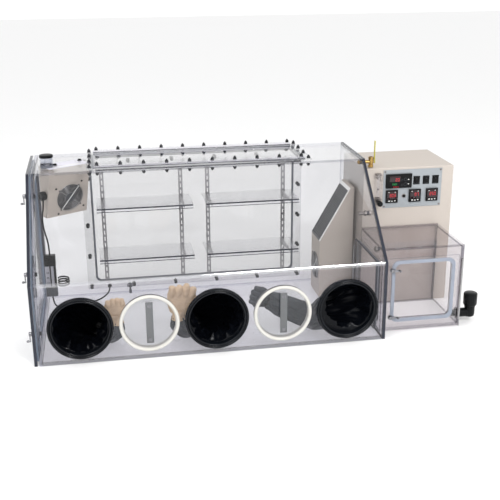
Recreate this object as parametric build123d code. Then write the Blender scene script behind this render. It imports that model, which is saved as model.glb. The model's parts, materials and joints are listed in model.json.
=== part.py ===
from build123d import *
import os
from math import atan2, cos, pi, radians, sin, sqrt, tan

os.makedirs("parts", exist_ok=True)

# Laboratory glove box, in millimetres. The origin is the middle of the chamber's base:
# +X runs to the airlock end, +Y away from the operator and +Z up.

# ---- driving dimensions of the chamber
W, D, H = 1194.0, 605.0, 580.0  # outside width, depth and height
T = 10.0  # acrylic sheet
BEND_Z = 285.0  # height of the bend between the port panel and the window
ROOF_Y = 315.0  # depth from the front at which the window meets the roof
X0, X1 = -W / 2, W / 2
Y0, Y1 = -D / 2, D / 2

# ---- ports
PORT_PITCH = 227.5
PORT_Z = 128.0
PORT_HOLE_R = 100.0
PORT_X = [PORT_PITCH * (i - 2) for i in range(5)]
GLOVE_X = PORT_X[0::2]
COVER_X = PORT_X[1::2]

# ---- rear cover, roof hatch, shelves
COVER_W, COVER_H, COVER_MID_X, COVER_MID_Z = 862.0, 530.0, -2.5, 291.5
SCREW_X, SCREW_Z = 166.8, 126.4
HATCH_MID_X, HATCH_MID_Y = -4.5, 150.0
HATCH_W, HATCH_D = 806.0, 272.0
STUD_X, STUD_Y = 81.2, 84.0
STANDARD_X = (-357.0, -56.0, 49.0, 350.0)
SHELF_Z = (200.0, 400.0)
SHELF_D, SHELF_T = 150.0, 5.0

# ---- airlock and control box on the right-hand end
LOCK_W, LOCK_H, LOCK_T = 299.0, 314.0, 9.0
LOCK_Y0, LOCK_Y1 = Y0 + 57.0, Y0 + 322.0
PASS_Y0, PASS_Y1, PASS_Z0, PASS_Z1 = Y0 + 82.0, Y0 + 312.0, 26.0, 258.0
DOOR_LATCHES = ((Y0 + 248.0, 519.0), (Y0 + 42.0, 312.0), (Y0 + 14.0, 114.0))
CTRL_X1, CTRL_H = X0 + 1545.0, 537.0
CTRL_Y0, CTRL_Y1 = Y0 + 325.0, Y0 + 598.0
ROCKER_X, ROCKER_PITCH, ROCKER_Z = 129.0, 37.0, 486.0
FAN_R = 53.0
PURGE_Z = 37.0


def block(x0, x1, y0, y1, z0, z1):
    """A box between two corners."""
    size = (x1 - x0, y1 - y0, z1 - z0)
    return Pos((x0 + x1) / 2, (y0 + y1) / 2, (z0 + z1) / 2) * Box(*size)


def rod(start, end, radius):
    """A cylinder from one point to another."""
    way = Vector(*end) - Vector(*start)
    mid = Vector(*start) + way * 0.5
    return Plane(origin=mid, z_dir=way) * Cylinder(radius, way.length)


def ring(centre, axis, outer, inner, length):
    """A tube whose first face is at centre and which runs along axis."""
    end = Vector(*centre) + Vector(*axis) * length
    back = Vector(*centre) - Vector(*axis)
    past = end + Vector(*axis)
    return rod(centre, end, outer) - rod(back, past, inner)


def plate_yz(points, x0, x1):
    """An outline of (y, z) points extruded between two x values."""
    face = make_face(Polyline([(0, y, z) for y, z in points], close=True))
    return Pos(x0, 0, 0) * extrude(face, amount=x1 - x0, dir=(1, 0, 0))


def frame_xz(x0, x1, z0, z1, border, corner, y0, y1):
    """A rounded rectangular frame in a plane of constant y."""
    plane = Plane(origin=((x0 + x1) / 2, y0, (z0 + z1) / 2), x_dir=(1, 0, 0), z_dir=(0, 1, 0))
    outside = RectangleRounded(x1 - x0, z1 - z0, corner)
    inside = RectangleRounded(x1 - x0 - 2 * border, z1 - z0 - 2 * border, corner - border / 2)
    return extrude(plane * (outside - inside), amount=y1 - y0)


def rounded_yz(y0, y1, z0, z1, corner, x0, x1):
    """A rounded rectangle of the end wall, extruded between two x values."""
    plane = Plane(origin=(x0, (y0 + y1) / 2, (z0 + z1) / 2), x_dir=(0, 1, 0), z_dir=(1, 0, 0))
    return extrude(plane * RectangleRounded(y1 - y0, z1 - z0, corner), amount=x1 - x0)


def rounded_xz(x0, x1, z0, z1, corner, y0, y1):
    """A rounded rectangle of the front or rear, extruded between two y values."""
    plane = Plane(origin=((x0 + x1) / 2, y0, (z0 + z1) / 2), x_dir=(1, 0, 0), z_dir=(0, 1, 0))
    return extrude(plane * RectangleRounded(x1 - x0, z1 - z0, corner), amount=y1 - y0)


def lead(points, radius, name):
    """A tube of straight runs and tangent arcs along a route, chosen as large as the runs allow."""
    path = [Vector(*p) for p in points]
    radii = []
    for a, b, c in zip(path, path[1:], path[2:]):
        turn = radians((b - a).get_angle(c - b))
        radii.append(0.45 * min((b - a).length, (c - b).length) / tan(turn / 2))
    route = FilletPolyline(*points, radius=radii)
    print(name, "arc radii", [round(r, 1) for r in radii], "length", round(route.length, 1))
    tube = sweep(Plane(origin=route @ 0, z_dir=route % 0) * Circle(radius), path=route)
    print(name, "volume over section times length", tube.volume / (pi * radius**2 * route.length))
    return tube


def save(shape, node):
    """Writes one sub-part."""
    if isinstance(shape, (list, tuple)):
        solids = [s for piece in shape for s in piece.solids()]
        shape = Compound(children=solids)
    export_step(shape, f"parts/{node}.step")


# ---- outline of the chamber's ends, and the sheet that makes the window and the port panel
slope = sqrt(ROOF_Y**2 + (H - BEND_Z) ** 2)
along = (ROOF_Y / slope, (H - BEND_Z) / slope)
inward = (along[1], -along[0])


def slant_point(offset, z):
    """The (y, z) point at height z on the window's line, moved inward by offset."""
    s = (z - BEND_Z - offset * inward[1]) / along[1]
    return (Y0 + offset * inward[0] + s * along[0], z)


def end_outline(shrink):
    """The chamber's end profile, moved inward all round."""
    bend_s = (shrink - shrink * inward[0]) / along[0]
    bend = (Y0 + shrink, BEND_Z + shrink * inward[1] + bend_s * along[1])
    top = H - shrink
    return [
        (Y0 + shrink, shrink),
        bend,
        slant_point(shrink, top),
        (Y1 - shrink, top),
        (Y1 - shrink, shrink),
    ]


OUTER, INNER = end_outline(0), end_outline(T)
IN_X0, IN_X1 = X0 + T, X1 - T


def chamber():
    """The acrylic sheets of the chamber."""
    save(block(IN_X0, IN_X1, Y0, Y1, 0, T), "chamber_floor")

    rear = block(IN_X0, IN_X1, Y1 - T, Y1, T, H - T)
    rear -= rounded_xz(
        COVER_MID_X - 395, COVER_MID_X + 395, 62, 522, 24, Y1 - T - 1, Y1 + 1
    )
    save(rear, "rear_wall")

    top = plate_yz([OUTER[2], OUTER[3], (Y1, H - T), INNER[2]], IN_X0, IN_X1)
    top -= block(HATCH_MID_X - 372, HATCH_MID_X + 372, 50, 250, H - T - 1, H + 1)
    top -= rod((X0 + 50, Y0 + 445, H - T - 1), (X0 + 50, Y0 + 445, H + 1), 23.0)
    save(top, "roof_panel")

    front = [(Y0, T), OUTER[1], OUTER[2], INNER[2], INNER[1], (Y0 + T, T)]
    window = plate_yz(front, IN_X0, IN_X1)
    bend_edges = window.edges().filter_by(Axis.X).filter_by(
        lambda e: abs(e.center().Z - BEND_Z) < T and e.center().Y < Y0 + T + 1
    )
    for edge in bend_edges:
        outside = abs(edge.center().Y - Y0) < 0.1
        window = fillet(
            window.edges().filter_by(Axis.X).sort_by_distance(edge.center())[0],
            18.0 if outside else 8.0,
        )
    for x in PORT_X:
        window -= rod((x, Y0 - 1, PORT_Z), (x, Y0 + T + 1, PORT_Z), PORT_HOLE_R)
    save(window, "front_window")

    left = plate_yz(OUTER, X0, X0 + T) - plate_yz(end_outline(38), X0 - 1, X0 + T + 1)
    save(left, "left_wall")

    right = plate_yz(OUTER, X1 - T, X1)
    right -= rounded_yz(PASS_Y0, PASS_Y1, PASS_Z0, PASS_Z1, 22, X1 - T - 1, X1 + 1)
    for y, z, r in ((Y0 + 345, 560, 8.0), (Y0 + 243, 393, 7.0), (Y0 + 101, 303, 7.0)):
        right -= rod((X1 - T - 1, y, z), (X1 + 1, y, z), r)
    save(right, "right_wall")


def sleeve_bag(x, depth, small):
    """An open bag behind a glove port's collar, narrowing from front to back."""
    wall, wide = 3.0, 99.0
    front = Plane(origin=(x, Y0 + 24, PORT_Z), z_dir=(0, 1, 0))
    outside = front * Pos(0, 0, depth / 2) * Cone(wide, small, depth)
    inside = front * Pos(0, 0, depth / 2 - wall) * Cone(wide - wall, small - wall, depth)
    return outside - inside


def ports():
    """Glove ports with their sleeves and gloves, and the two covered ports."""
    rings = []
    for x in GLOVE_X:
        flange = ring((x, Y0 - 14, PORT_Z), (0, 1, 0), 109, 92, 14)
        collar = ring((x, Y0, PORT_Z), (0, 1, 0), 99.5, 92, 24)
        rings.append(fillet(flange.edges().group_by(Axis.Y)[0], 4) + collar)
    save(rings, "glove_port_rings")

    # each sleeve is an open bag behind its collar, with a forearm on the floor beside it
    # the first glove stands up to the right of its port, the second to the left
    hands = []
    for name, x, side, tall, lean in (("left", GLOVE_X[0], 1, 72, 0), ("centre", GLOVE_X[1], -1, 110, 8)):
        back = Y0 + 126
        forearm = rod((x + side * 50, back + 34, 48), (x + side * 120, back + 6, 48), 34)
        save([sleeve_bag(x, 95, 72), forearm], f"sleeve_{name}")
        hands.append(rod((x + side * 120, back, 84), (x + side * 118, back - 2, 112), 26))
        hands.append(Pos(x + side * 116, back - 2, 117 + tall / 2) * Rot(0, lean, 0) * Box(66, 28, tall))
    save(hands, "latex_gloves")
    # the right-hand sleeve and glove are one piece, reaching left behind the covered port
    x = GLOVE_X[2]
    arm = rod((x - 112, Y0 + 100, 58), (x - 240, Y0 + 120, 122), 42)
    palm = Pos(x - 300, Y0 + 126, 142) * Rot(0, 30, 0) * Box(80, 36, 66)
    save([sleeve_bag(x, 38, 88), arm, palm], "sleeve_right")

    rings = []
    for x in COVER_X:
        flange = ring((x, Y0 - 8, PORT_Z), (0, 1, 0), 101, 88, 8)
        rings.append(flange + ring((x, Y0, PORT_Z), (0, 1, 0), 99.5, 88, 14))
        for side in (-1, 1):
            mid = (x + side * 92, Y0 - 4, PORT_Z - 62)
            rings.append(Pos(*mid) * Rot(0, side * 40, 0) * Box(18, 8, 20))
    for i, x in ((0, COVER_X[0]), (3, COVER_X[1])):
        for tab in (i + 1, i + 2):
            rings[tab] -= rod((x, Y0 - 10, PORT_Z), (x, Y0 + 1, PORT_Z), 101.3)
    save([rings[0], rings[3]], "cover_port_rings")
    save([rings[1], rings[2], rings[4], rings[5]], "cover_clips")
    for name, x in zip(("left", "right"), COVER_X):
        save(rod((x, Y0 - 4, PORT_Z), (x, Y0 + 2, PORT_Z), 87.6), f"cover_disc_{name}")
        bar = block(x - 13, x + 13, Y0 - 16, Y0 - 12, PORT_Z - 66, PORT_Z + 80)
        for z in (PORT_Z - 53, PORT_Z + 67):
            bar += rod((x, Y0 - 12, z), (x, Y0 - 4, z), 6)
            bar += rod((x, Y0 - 18.5, z), (x, Y0 - 16, z), 5)
        save(bar, f"cover_handle_{name}")


def rear_and_roof():
    """The bolted rear cover and roof hatch, and the shelves."""
    x0, x1 = COVER_MID_X - COVER_W / 2, COVER_MID_X + COVER_W / 2
    z0, z1 = COVER_MID_Z - COVER_H / 2, COVER_MID_Z + COVER_H / 2
    save(block(x0, x1, Y1 + 3, Y1 + 12, z0, z1), "rear_cover")
    seals = [frame_xz(x0 + 32, x1 - 32, z0 + 32, z1 - 32, 8, 20, Y1, Y1 + 3)]
    outer = block(HATCH_MID_X - 385, HATCH_MID_X + 385, 38, 262, H, H + 3)
    seals.append(outer - block(HATCH_MID_X - 376, HATCH_MID_X + 376, 47, 253, H - 1, H + 4))
    save(seals, "cover_gaskets")

    fasteners = []
    for i in range(6):
        for j in range(5):
            if i in (0, 5) or j in (0, 4):
                x = COVER_MID_X + SCREW_X * (i - 2.5)
                z = COVER_MID_Z + SCREW_Z * (j - 2)
                fasteners.append(rod((x, Y1 + 12, z), (x, Y1 + 18, z), 6.5))
                fasteners.append(rod((x, Y1 - T - 5, z), (x, Y1 - T, z), 6.5))
    top = H + 9
    studs = [(HATCH_MID_X + STUD_X * (i - 4.5), y, top + 8) for i in range(10) for y in (23, 268)]
    sides = (HATCH_MID_X - 392, HATCH_MID_X + 392)
    studs += [(x, 22 + STUD_Y * j, top) for x in sides for j in range(4)]
    for x, y, z in studs:
        nut = Pos(x, y, z + 5) * Cylinder(5.5, 10)
        nut = fillet(nut.edges().filter_by(GeomType.CIRCLE), 1.5)
        fasteners.append(nut + rod((x, y, z + 10), (x, y, z + 13), 3))
    save(fasteners, "cover_fasteners")

    lid = block(HATCH_MID_X - HATCH_W / 2, HATCH_MID_X + HATCH_W / 2, 14, 284, H + 3, H + 9)
    bars = [block(HATCH_MID_X - 378, HATCH_MID_X + 378, y - 9, y + 9, H + 9, H + 17) for y in (23, 268)]
    save([lid] + bars, "hatch_lid")

    holders = []
    for x in STANDARD_X:
        strip = block(x - 8, x + 8, Y1 - T - 6, Y1 - T, 72, 508)
        strip -= block(x - 4, x + 4, Y1 - T - 4, Y1 - T + 1, 71, 509)
        for k in range(17):
            z = 90 + 25 * k
            strip -= block(x - 2, x + 2, Y1 - T - 7, Y1 - T - 3, z - 8, z + 8)
        holders.append(strip)
        for z in SHELF_Z:
            y = Y1 - T - 6
            arm = [(y, z), (y - SHELF_D + 12, z), (y - SHELF_D + 12, z - 8), (y, z - 26)]
            holders.append(plate_yz(arm, x - 2, x + 2))
    save(holders, "shelf_supports")
    shelves = []
    for a, b in ((0, 1), (2, 3)):
        for z in SHELF_Z:
            y = Y1 - T - 8
            x0, x1 = STANDARD_X[a] - 24, STANDARD_X[b] + 32
            sheet = block(x0, x1, y - SHELF_D, y, z, z + SHELF_T)
            lip = block(x0, x1, y - SHELF_D, y - SHELF_D + 4, z - 10, z)
            shelves.append(sheet + lip)
    save(shelves, "shelves")

    tube_x, tube_y = X0 + 50, Y0 + 445
    save(ring((tube_x, tube_y, H - T), (0, 0, 1), 22.8, 19.5, T + 30), "vent_tube")
    cap = rod((tube_x, tube_y, H + 26), (tube_x, tube_y, H + 36), 24.6)
    cap -= rod((tube_x, tube_y, H + 25), (tube_x, tube_y, H + 30.1), 22.88)
    save(cap, "tube_cap")


def place_fan_box():
    """The frame that the roof fan box is built in: its x runs along the face, y goes back."""
    yaw = radians(31)
    return Plane(origin=(X0 + 60, Y0 + 400, H - T), x_dir=(cos(yaw), sin(yaw), 0), z_dir=(0, 0, 1))


def fans():
    """The fan box under the roof, and the circulation unit on the right-hand wall."""
    spot = place_fan_box()
    w, d, h, lean = 165.0, 80.0, 190.0, 45.0
    outline = make_face(Polyline((0, 0, 0), (0, d, 0), (0, d, -h), (0, lean, -h), close=True))
    housing = extrude(outline, amount=w, dir=(1, 0, 0))
    tilt = atan2(lean, h)
    face = Plane(origin=(w / 2, lean / 2, -h / 2), x_dir=(1, 0, 0), z_dir=(0, -cos(tilt), -sin(tilt)))
    inside = [(0, 2, 1), (0, d - 2, 1), (0, d - 2, 2 - h), (0, lean + 2, 2 - h)]
    cavity = make_face(Polyline(inside, close=True))
    housing -= Pos(2, 0, 0) * extrude(cavity, amount=w - 4, dir=(1, 0, 0))
    fan = face * Pos(8, -29, 0)
    housing -= fan * Pos(0, 0, -12) * Cylinder(FAN_R, 26)
    save(spot * housing, "fan_box")
    guards = [spot * fan * Pos(0, 0, 1.5) * wire_guard(FAN_R + 2)]
    rotor_left = spot * fan * Pos(0, 0, -12) * rotor(FAN_R - 3)

    x0, x1 = X0 + 1054, IN_X1
    y0, y1 = Y0 + 400, Y0 + 530
    zb, zm, zt = T, 236.0, 448.0
    corner = x0 + 118
    body = Polyline((x0, y0, zb), (x0, y0, zm), (corner, y0, zt), (x1, y0, zt), (x1, y0, zb), close=True)
    unit = extrude(make_face(body), amount=y1 - y0, dir=(0, 1, 0))
    cavity = [(x0 + 2, zb + 2), (x0 + 2, zm - 1), (corner + 1, zt - 2), (x1 + 1, zt - 2), (x1 + 1, zb + 2)]
    hollow = make_face(Polyline([(x, y0 + 2, z) for x, z in cavity], close=True))
    unit -= extrude(hollow, amount=y1 - y0 - 4, dir=(0, 1, 0))
    unit -= rod((x0 - 1, (y0 + y1) / 2, 124), (x0 + 30, (y0 + y1) / 2, 124), FAN_R)
    save(unit, "circulation_unit")
    side = Plane(origin=(x0, (y0 + y1) / 2, 124), z_dir=(-1, 0, 0))
    guards.append(side * Pos(0, 0, 1.5) * wire_guard(FAN_R + 2))
    save(guards, "fan_guards")
    save(rotor_left, "fan_rotor_left")
    save(side * Pos(0, 0, -12) * rotor(FAN_R - 3), "fan_rotor_right")

    run = Vector(corner - x0, 0, zt - zm)
    normal = Vector(-run.Z, 0, run.X).normalized()
    mid = Vector(x0, (y0 + y1) / 2, zm) + run * 0.5 + normal * 2
    sheet = Plane(origin=mid, x_dir=run, z_dir=normal) * Box(run.length - 6, y1 - y0 - 8, 3.9)
    save(sheet, "circulation_grille")

    glands = [
        spot * Pos(-11, 44, -103) * Rot(0, 90, 0) * Cylinder(17, 22),
        spot * Pos(w + 6, 36, -68) * Rot(0, 90, 0) * Cylinder(11, 12),
        rod((X0 + 247, Y1 - T - 14, 42), (X0 + 247, Y1 - T, 42), 8),
    ]
    for x, y in ((31, 13), (135, 20)):
        glands.append(spot * Pos(x, y, T + 3) * Cylinder(6, 6))
    save(glands, "cable_glands")


def wire_guard(radius):
    """A fan's finger guard: concentric wires on two struts."""
    wires = []
    for r in (radius, radius - 10, radius - 20, radius - 30):
        wires.append(Cylinder(r, 1.8) - Cylinder(r - 1.8, 2.4))
    guard = wires[0]
    for wire in wires[1:]:
        guard += wire
    for turn in (45, 135):
        guard += Rot(0, 0, turn) * Box(2 * radius + 12, 2.2, 1.8)
    return guard


def rotor(radius):
    """A fan rotor: a hub and seven pitched blades about its own z."""
    hub = Cylinder(16, 16)
    for i in range(7):
        blade = Pos(radius / 2 + 6, 0, 0) * Rot(32, 0, 0) * Box(radius - 14, 18, 1.6)
        hub += Rot(0, 0, 360 / 7 * i) * blade
    return hub & Cylinder(radius, 20)


def access_end():
    """The full-height access door on the left-hand end, its latches and hinge."""
    gasket = plate_yz(end_outline(14), X0 - 6, X0) - plate_yz(end_outline(34), X0 - 7, X0 + 1)
    seals = [gasket]
    door = plate_yz(end_outline(1), X0 - 16, X0 - 6)
    save(door, "access_door")
    for i, (y, z) in enumerate(DOOR_LATCHES):
        place = Plane(origin=(X0 - 16, y, z), x_dir=(0, 0, -1), z_dir=(-1, 0, 0))
        save(place * latch(), f"door_latch_{i + 1}")
    return seals


def latch():
    """A quarter-turn lever: a round boss with an arm along its own x."""
    boss = Cylinder(7, 10, align=(Align.CENTER, Align.CENTER, Align.MIN))
    arm = Pos(10, 0, 7) * Box(34, 9, 4)
    grip = Pos(27, 0, 12) * Cylinder(4, 14)
    return boss + arm + grip


def airlock():
    """The transfer airlock with its outer and inner doors."""
    seals = []
    x1 = X1 + LOCK_W
    y0, y1, t = LOCK_Y0, LOCK_Y1, LOCK_T
    front = block(X1, x1, y0, y0 + t, 0, LOCK_H)
    front -= rounded_xz(X1 + 47, x1 - 44, 51, 257, 16, y0 - 1, y0 + t + 1)
    shell = [
        block(X1, x1, y0 + t, y1 - t, 0, t),
        block(X1, x1, y0 + t, y1 - t, LOCK_H - t, LOCK_H),
        block(X1, x1, y1 - t, y1, 0, LOCK_H),
        block(x1 - t, x1, y0 + t, y1 - t, t, LOCK_H - t)
        - rod((x1 - t - 1, y0 + 38, PURGE_Z), (x1 + 1, y0 + 38, PURGE_Z), 12),
        front,
    ]
    save(shell, "airlock_shell")
    seals.append(frame_xz(X1 + 34, x1 - 31, 38, 270, 12, 26, y0 - 5, y0))
    save(block(X1 + 12, x1 - 20, y0 - 14, y0 - 5, 20, 282), "airlock_door")
    for i, z in enumerate((240, 62)):
        place = Plane(origin=(X1 + 30, y0 - 14, z), x_dir=(1, 0, 0), z_dir=(0, -1, 0))
        save(place * latch(), f"airlock_latch_{i + 1}")
    ygap, zgap = 12.0, 10.0
    py0, py1 = PASS_Y0 - ygap - 4, PASS_Y1 + ygap + 4
    pz0, pz1 = 12.0, PASS_Z1 + zgap
    outer = rounded_yz(py0 + 3, py1 - 3, pz0 + 1, pz1 - 1, 20, X1 - T - 5, X1 - T)
    inner = rounded_yz(PASS_Y0 - 1, PASS_Y1 + 1, PASS_Z0 - 1, PASS_Z1 + 1, 16, X1 - T - 6, X1 - T + 1)
    seals.append(outer - inner)
    save(block(X1 - T - 13, X1 - T - 5, py0, py1, pz0, pz1), "inner_door")

    # hinges: one barrel beside each door, with a leaf on the fixed side
    x, y = x1 - 8, y0 - 12
    outer_hinge = rod((x, y, 34), (x, y, 266), 3.4)
    outer_hinge += block(x + 2, x1, y0 - 3, y0, 34, 266)
    outer_hinge += block(x, x + 3, y, y0, 34, 266)
    x, y = X1 - T - 12, py1 + 6
    inner_hinge = rod((x, y, 40), (x, y, 240), 3.4)
    inner_hinge += block(x, X1 - T, y - 1.5, y + 1.5, 40, 240)
    x, y = X0 - 12, Y1 + 6
    access_hinge = rod((x, y, 60), (x, y, 520), 4)
    access_hinge += block(x, X0 + 10, Y1, Y1 + 3, 60, 520)
    access_hinge += block(x, x + 3, Y1 + 1, y + 1, 60, 520)
    save([outer_hinge, inner_hinge, access_hinge], "hinges")

    # purge elbow low on the airlock's outer side
    ey, ez = y0 + 38, PURGE_Z
    ex = x1 + 55
    elbow = rod((x1 - t - 6, ey, ez), (x1 + 24, ey, ez), 11.8)
    elbow += rod((x1, ey, ez), (x1 + 10, ey, ez), 19)
    elbow += rod((x1 + 9, ey, ez), (ex + 11, ey, ez), 16.5)
    elbow += rod((ex, ey, ez - 16), (ex, ey, ez + 36), 19)
    elbow += rod((ex, ey, ez + 28), (ex, ey, ez + 76), 25)
    save(elbow, "elbow_fitting")
    return seals


def controls():
    """The control box behind the airlock and everything on its face."""
    f = CTRL_Y0
    x0 = X1 + 3
    case = block(x0, CTRL_X1, f, CTRL_Y1, 0, CTRL_H)
    case = fillet(case.edges().group_by(Axis.Z)[-1], 3)
    case -= block(x0 + 2.5, CTRL_X1 - 2.5, f + 2.5, CTRL_Y1 - 2.5, -1, CTRL_H - 2.5)
    px0, px1, pz0, pz1 = X0 + 1272, X0 + 1500, 384, 529
    panel = block(px0, px1, f - 2, f, pz0, pz1)
    face = f - 2
    meters = [block(px0 + 9, px0 + 109, face - 8, face, 460, 514)]
    for x in (11, 101, 168):
        meters.append(block(px0 + x, px0 + x + 46, face - 8, face, 404, 453))
    for i in range(3):
        x = px0 + ROCKER_X + ROCKER_PITCH * i
        bezel = block(x - 12.5, x + 12.5, face - 2, face, ROCKER_Z - 16, ROCKER_Z + 16)
        slot = block(x - 10, x + 10, face - 3, face + 6, ROCKER_Z - 13, ROCKER_Z + 13)
        meters.append(bezel - slot)
        panel -= slot
        case -= slot
        key = block(x - 9.6, x + 9.6, face - 4, face + 3, ROCKER_Z - 12.4, ROCKER_Z + 12.4)
        save(key, f"rocker_{i + 1}")
    save(meters, "meters")
    bx, bz = px0 + 82, 428
    save(rod((bx, face - 6, bz), (bx, face + 3, bz), 5), "panel_button")
    hole = rod((bx, face - 1, bz), (bx, f + 3, bz), 5.3)
    save(panel - hole, "control_panel")
    save(case - hole, "control_box")
    rx = X0 + 1250
    tube = block(rx - 13, rx + 13, f - 22, f, 420, 520)
    tube -= rod((rx, f - 11, 430), (rx, f - 11, 510), 5)
    save(tube, "rotameter")
    knob = rod((rx, f - 46, 412), (rx, f - 26, 412), 10.5) + rod((rx, f - 26, 412), (rx, f - 12.2, 412), 5)
    foot = block(rx - 13, rx + 13, f - 12, f, 400, 419.9)
    save(knob, "rotameter_knob")

    vx, vy, vz = X1 + 33, Y0 + 345, 560
    brass = rod((X1 - T - 8, vy, vz), (vx, vy, vz), 6.5)
    brass += block(vx - 9, vx + 9, vy - 9, vy + 9, vz - 9, vz + 9)
    brass += extrude(Plane(origin=(vx, vy, vz + 9)) * RegularPolygon(10, 6), amount=9)
    brass += extrude(Plane(origin=(vx, vy, vz - 20)) * RegularPolygon(10, 6), amount=9)
    brass += rod((vx, vy, vz - 12), (vx, vy, vz), 7)
    locknut = rod((X1 - T - 4, vy, vz), (X1 - T, vy, vz), 9) - rod((X1 - T - 5, vy, vz), (X1, vy, vz), 6.5)
    save([brass, locknut], "valve_body")
    stem = rod((vx + 9.1, vy, vz), (vx + 16, vy, vz), 3.5)
    lever = stem + block(vx + 12, vx + 14, vy - 6, vy + 6, vz - 6, vz + 78)
    save(lever, "valve_lever")

    fy, fz = Y0 + 243, 393
    fitting = rod((X1 - T - 28, fy, fz), (X1 + 7, fy, fz), 6.5)
    for x in (X1 - T - 6, X1):
        fitting += ring((x, fy, fz), (1, 0, 0), 11, 4, 6)
    plug = rod((X1 - T - 8, Y0 + 101, 303), (X1 - 0.5, Y0 + 101, 303), 6.8)
    plug += ring((X1 - T - 8, Y0 + 101, 303), (1, 0, 0), 11, 4, 8)
    cx = X0 + 327
    cock = rod((cx, Y1 - T - 26, 44), (cx, Y1 - T, 44), 6)
    cock += rod((cx - 11, Y1 - T - 17, 44), (cx + 11, Y1 - T - 17, 44), 7)
    save([fitting, plug, cock, foot], "wall_fittings")
    tap = rod((cx, Y1 - T - 32, 44), (cx, Y1 - T - 26.3, 44), 6)
    tap += Pos(cx, Y1 - T - 30, 30) * Box(10, 4, 30)
    save(tap, "stopcock_lever")


def wiring():
    """The outlet block by the left-hand wall and the leads inside the chamber."""
    bx, by = X0 + 32, Y0 + 440
    outlet = block(bx - 20, bx + 22, by - 14, by + 14, 78, 238)
    save(outlet, "outlet_block")
    r = 3.0
    fan_route = [
        (X0 + 28, Y0 + 432, 449.9),
        (X0 + 27, Y0 + 432, 428),
        (X0 + 19, Y0 + 433, 388),
        (X0 + 21, Y0 + 437, 338),
        (X0 + 34, Y0 + 440, 284),
        (X0 + 34, Y0 + 440, 238),
    ]
    floor_route = [
        (X0 + 34, Y0 + 440, 78),
        (X0 + 34, Y0 + 440, 56),
        (X0 + 42, Y0 + 444, 32),
        (X0 + 64, Y0 + 452, T + 8),
        (X0 + 100, Y0 + 468, T + 3.2),
        (X0 + 138, Y0 + 492, T + 3.4),
        (X0 + 176, Y0 + 506, T + 3.4),
        (X0 + 208, Y0 + 516, T + 8),
        (X0 + 234, Y0 + 528, 30),
        (X0 + 247, Y0 + 550, 42),
        (X0 + 247, Y1 - T - 14, 42),
    ]
    save([lead(fan_route, r, "fan lead"), lead(floor_route, r, "floor lead")], "power_leads")
    coil = Pos(bx + 22 + 24, by, 132) * Cylinder(23, 34)
    save(coil, "lead_coil")


chamber()
ports()
rear_and_roof()
fans()
gaskets = access_end() + airlock()
save(gaskets, "door_gaskets")
controls()
wiring()
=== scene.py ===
import json
import math
import random

import bmesh
import bpy
from mathutils import Matrix, Vector, noise


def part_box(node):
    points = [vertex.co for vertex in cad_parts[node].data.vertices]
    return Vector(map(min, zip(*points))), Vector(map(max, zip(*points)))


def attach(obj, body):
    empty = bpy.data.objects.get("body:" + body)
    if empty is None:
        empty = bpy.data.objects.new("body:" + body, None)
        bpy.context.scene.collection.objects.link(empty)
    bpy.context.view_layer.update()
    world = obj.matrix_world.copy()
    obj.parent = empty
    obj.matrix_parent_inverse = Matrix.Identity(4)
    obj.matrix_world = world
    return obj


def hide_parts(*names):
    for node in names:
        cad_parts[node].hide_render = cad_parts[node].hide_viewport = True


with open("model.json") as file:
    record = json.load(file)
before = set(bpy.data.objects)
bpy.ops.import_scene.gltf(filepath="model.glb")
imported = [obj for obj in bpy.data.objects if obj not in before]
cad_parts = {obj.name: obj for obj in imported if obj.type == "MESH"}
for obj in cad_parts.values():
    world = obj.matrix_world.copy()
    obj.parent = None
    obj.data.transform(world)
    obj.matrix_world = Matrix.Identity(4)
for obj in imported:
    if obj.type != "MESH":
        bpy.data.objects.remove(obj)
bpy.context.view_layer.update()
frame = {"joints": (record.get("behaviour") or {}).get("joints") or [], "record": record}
MM = 0.001
X, Y, Z = Vector((1, 0, 0)), Vector((0, 1, 0)), Vector((0, 0, 1))
JOINTS = {joint["name"]: joint for joint in frame["joints"]}

# ---------------------------------------------------------------- places, read from the frame
def box_of(node):
    """The two corners of a node's box, in metres."""
    return tuple(Vector(corner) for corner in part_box(node))


def box_mm(node):
    """The two corners of a node's box, in millimetres."""
    return tuple(corner / MM for corner in box_of(node))


FLOOR_LO, FLOOR_HI = box_of("chamber_floor")
ROOF_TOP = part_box("roof_panel")[1][2]
WALL_X0, WALL_X1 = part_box("left_wall")[0][0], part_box("right_wall")[1][0]
FRONT_Y, REAR_Y = FLOOR_LO.y, FLOOR_HI.y
SHEET = FLOOR_HI.z
BODY = {node: body for body, nodes in frame["record"]["behaviour"]["bodies"].items() for node in nodes}


def solids(node):
    """The lowest and highest corners of each separate solid of a CAD node, from left to right."""
    bm = bmesh.new()
    bm.from_mesh(bpy.data.objects[node].data)
    bmesh.ops.remove_doubles(bm, verts=bm.verts, dist=1e-5)
    left, found = set(bm.verts), []
    while left:
        group, edge = set(), [left.pop()]
        while edge:
            vert = edge.pop()
            group.add(vert)
            for link in vert.link_edges:
                other = link.other_vert(vert)
                if other in left:
                    left.discard(other)
                    edge.append(other)
        low = Vector(min(v.co[i] for v in group) for i in range(3))
        high = Vector(max(v.co[i] for v in group) for i in range(3))
        found.append((low, high))
    bm.free()
    return sorted(found, key=lambda pair: (round(pair[0].x, 4), round(pair[0].y, 4), pair[0].z))


def middle(pair):
    return (Vector(pair[0]) + Vector(pair[1])) / 2


def joint_place(name, x_dir):
    """The frame at a joint's anchor: z along the joint's axis, x along x_dir."""
    return facing(Vector(JOINTS[name]["pos_m"]), Vector(JOINTS[name]["axis"]), x_dir)


def facing(at, z_dir, x_dir=None):
    """A 4x4 frame at a point with its z along z_dir and its x as near x_dir as it can be."""
    z = Vector(z_dir).normalized()
    hint = Vector(x_dir) if x_dir else (X if abs(z.x) < 0.9 else Y)
    x = (hint - z * hint.dot(z)).normalized()
    turn = Matrix((x, z.cross(x), z)).transposed()
    return Matrix.Translation(at) @ turn.to_4x4()


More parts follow.
